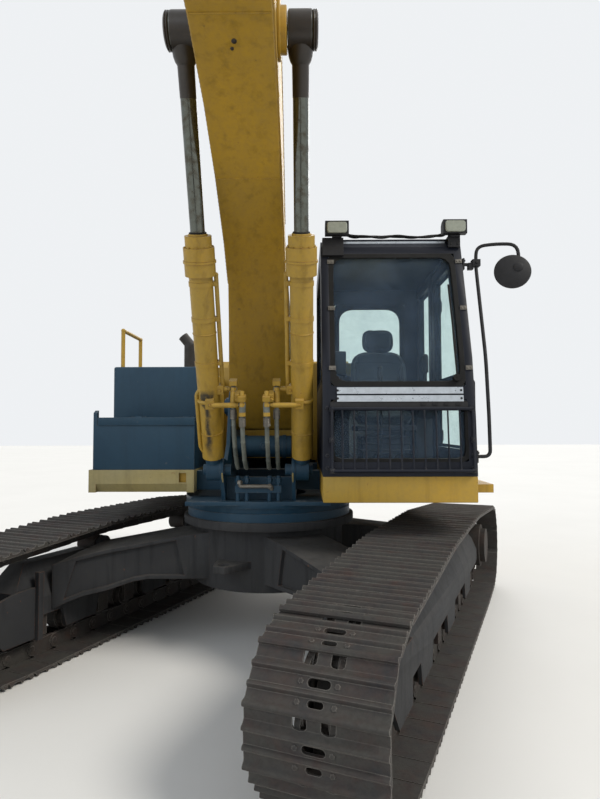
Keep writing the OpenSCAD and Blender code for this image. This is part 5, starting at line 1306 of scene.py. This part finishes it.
def door_details():
    """Seals and handles of the cab door, and seals of the side windows."""
    x = CAB_SIDE_X
    window = [(0.060, 2.000), (0.060, 2.810), (0.510, 2.810), (0.540, 2.780), (0.650, 2.450), (0.770, 2.050),
              (0.785, 2.000)]
    pane = [(0.060, 1.480), (0.060, 1.920), (0.800, 1.920), (0.835, 1.670), (0.838, 1.480)]
    b = Build("cab_door_seals")
    for outline in (window, pane):
        b.ring(rounded(outline, 0.012, 3), 0.020, x - 0.003, 0.010)
    b.done("cab_door_body", "seal", 0.002, 1)
    b = Build("cab_door_handle")
    b.box((x - 0.002, 0.700, 1.940), (x + 0.010, 0.560, 1.985))
    b.tube([(x + 0.008, 0.690, 1.962), (x + 0.032, 0.680, 1.962), (x + 0.032, 0.590, 1.962),
            (x + 0.008, 0.575, 1.962)], 0.009, 10, 0.02)
    b.done("cab_door_body", "trim", 0.003)
    b = Build("cab_door_grab")
    b.tube([(x - 0.002, 0.872, 1.500), (x + 0.034, 0.872, 1.500), (x + 0.034, 0.872, 1.950),
            (x - 0.002, 0.850, 1.950)], 0.010, 10, 0.03)
    b.done("cab_door_body", "cab_paint", 0)
    b = Build("cab_side_seals")
    left = [(-0.600, 1.950), (-0.600, 2.830), (0.560, 2.830), (0.690, 2.450), (0.800, 1.950)]
    rear = [(-0.620, 1.950), (-0.620, 2.830), (-0.140, 2.830), (-0.140, 1.950)]
    b.ring(rounded(left, 0.015, 3), 0.022, CAB_X - CAB_W / 2 + 0.004, 0.012)
    b.ring(rounded(rear, 0.015, 3), 0.022, CAB_X + CAB_W / 2 - 0.004, 0.012)
    b.done("house", "seal", 0.002, 1)


def cab_inside():
    """Pedals, travel levers, monitor and joysticks."""
    floor_z = DECK_Z + CAB_T
    b = Build("travel_levers")
    for e in (-1, 1):
        x = CAB_X + e * 0.075
        b.plate([(0.56, floor_z + 0.020), (0.78, floor_z + 0.075), (0.785, floor_z + 0.088),
                 (0.555, floor_z + 0.034)], x, 0.105)
        b.tube([(x, 0.66, floor_z + 0.05), (x, 0.72, floor_z + 0.32), (x, 0.66, floor_z + 0.60)], 0.010, 10, 0.08)
        b.rod((x, 0.665, floor_z + 0.58), (x, 0.650, floor_z + 0.70), 0.019, 12, 0.006)
    b.box((CAB_X - 0.24, 0.54, floor_z), (CAB_X + 0.24, 0.82, floor_z + 0.016))
    b.done("house", "trim", 0.002, 1)
    b = Build("monitor")
    b.plate([(0.545, 2.02), (0.560, 2.19), (0.500, 2.20), (0.490, 2.01)], CAB_X - 0.385, 0.150)
    b.box((CAB_X - 0.40, 0.52, 1.88), (CAB_X - 0.37, 0.50, 2.03))
    b.done("house", "trim", 0.008)
    b = Build("levers")
    for e in (-1, 1):
        x = CAB_X + e * 0.330
        b.turn([(0, 0.048), (0.015, 0.044), (0.030, 0.050), (0.045, 0.038), (0.060, 0.040), (0.085, 0.018)],
               (x, -0.260, 1.868), (0, 0, 1), 20)
        b.turn([(0, 0.015), (0.05, 0.020), (0.11, 0.025), (0.145, 0.022), (0.16, 0.010)], (x, -0.260, 2.045),
               (0, -0.1, 1), 16)
        b.box((x - 0.075, 0.17, 1.846), (x + 0.075, -0.28, 1.872))
    b.done("house", "trim", 0.004)


def seat():
    """Seat cushion, back with bolsters and headrest, as padded forms."""
    base = Build("seat_base")
    x = CAB_X + 0.022
    base.box((x - 0.19, 0.22, DECK_Z + CAB_T), (x + 0.19, -0.18, 1.56))
    for z in (1.44, 1.49, 1.54):
        base.box((x - 0.197, 0.227, z), (x + 0.197, -0.187, z + 0.018))
    base.box((x - 0.235, 0.28, 1.60), (x + 0.235, -0.22, 1.645))
    base.done("house", "trim", 0.012, replaces=("seat",))
    pads = [
        ("seat_cushion", (0, 0.045, 1.715), 0, (0.50, 0.49, 0.120), 0.10),
        ("seat_back", (0, -0.195, 2.020), 14, (0.53, 0.125, 0.59), 0.17),
        ("seat_headrest", (0, -0.255, 2.380), 8, (0.305, 0.105, 0.225), 0.085),
    ]
    for name, at, lean, size, corner in pads:
        obj = pad(name, size, corner)
        obj.data.transform(Matrix.Translation((x + at[0], SWING_Y - at[1], at[2]))
                           @ Matrix.Rotation(math.radians(-lean), 4, "X"))
        settle(obj, "house", "seat_cloth", 0, angle=60)


PAD_SWELL = 0.012
PAD_SEAM = 0.005


def pad(name, size, corner):
    """A cushion: a block with round corners, swollen by a short cloth run, with a seam round it."""
    upright = size[2] > size[1]
    w, h, t = (size[0], size[2], size[1]) if upright else size
    outline = rounded([(-w / 2 + 0.015, -h / 2 + 0.01), (w / 2 - 0.015, -h / 2 + 0.01),
                       (w / 2 - 0.015, h / 2 - 0.01), (-w / 2 + 0.015, h / 2 - 0.01)], corner, 6)
    bm = bmesh.new()
    n = len(outline)
    v = [bm.verts.new((p[0], d * (t / 2 - 0.01), p[1]) if upright else (p[0], p[1], d * (t / 2 - 0.01)))
         for d in (-1, 1) for p in outline]
    bm.faces.new(v[:n])
    bm.faces.new(v[n:])
    for i in range(n):
        bm.faces.new([v[i], v[(i + 1) % n], v[(i + 1) % n + n], v[i + n]])
    bmesh.ops.recalc_face_normals(bm, faces=bm.faces)
    rim = [e for e in bm.edges if abs(e.calc_face_angle(0)) > 1.2]
    bmesh.ops.bevel(bm, geom=rim, offset=t * 0.30, segments=3, affect="EDGES")
    obj = bpy.data.objects.new(name, to_mesh(bm, name, False))
    bpy.context.scene.collection.objects.link(obj)
    remesh = obj.modifiers.new("remesh", "REMESH")
    remesh.mode = "VOXEL"
    remesh.voxel_size = 0.008
    apply(obj)
    start = [v.co.copy() for v in obj.data.vertices]
    cloth = obj.modifiers.new("cloth", "CLOTH")
    cloth.settings.use_pressure = True
    cloth.settings.uniform_pressure_force = 4
    cloth.settings.effector_weights.gravity = 0
    cloth.point_cache.frame_end = 20
    for f in range(1, 17):
        bpy.context.scene.frame_set(f)
    apply(obj)
    bpy.context.scene.frame_set(1)
    for v, p in zip(obj.data.vertices, start):
        move = v.co - p
        if move.length > PAD_SWELL:
            v.co = p + move.normalized() * PAD_SWELL
        # sewn channels across the pad and a seam near its rim
        along = p.z / size[2] if upright else p.y / size[1]
        groove = abs(((along + 0.5) * 4) % 1 - 0.5) * 2
        rim_gap = abs(abs(p.x) / (size[0] / 2) - 0.70)
        depth = PAD_SEAM * max(0, 1 - (1 - groove) * 9) + PAD_SEAM * max(0, 1 - rim_gap * 22)
        inward = Vector((0, -p.y, 0)) if upright else Vector((0, 0, -p.z))
        if inward.length > 1e-6:
            v.co += inward.normalized() * depth
    bpy.context.scene.collection.objects.unlink(obj)
    return obj


def apply(obj):
    """Turns an object's modifiers into its mesh."""
    mesh = evaluated(obj)
    obj.modifiers.clear()
    obj.data = mesh


camera()
stage()
dress_all()
tracks()
boom_details()
arm_details()
bucket_details()
for row in CYLINDERS:
    cylinder_details(*row)
lift_pipes()
lift_eyes()
foot_details()
cab_front()
cab_roof()
work_lamps()
wiper()
mirror()
door_details()
cab_inside()
seat()
bpy.context.scene.view_settings.view_transform = "Standard"
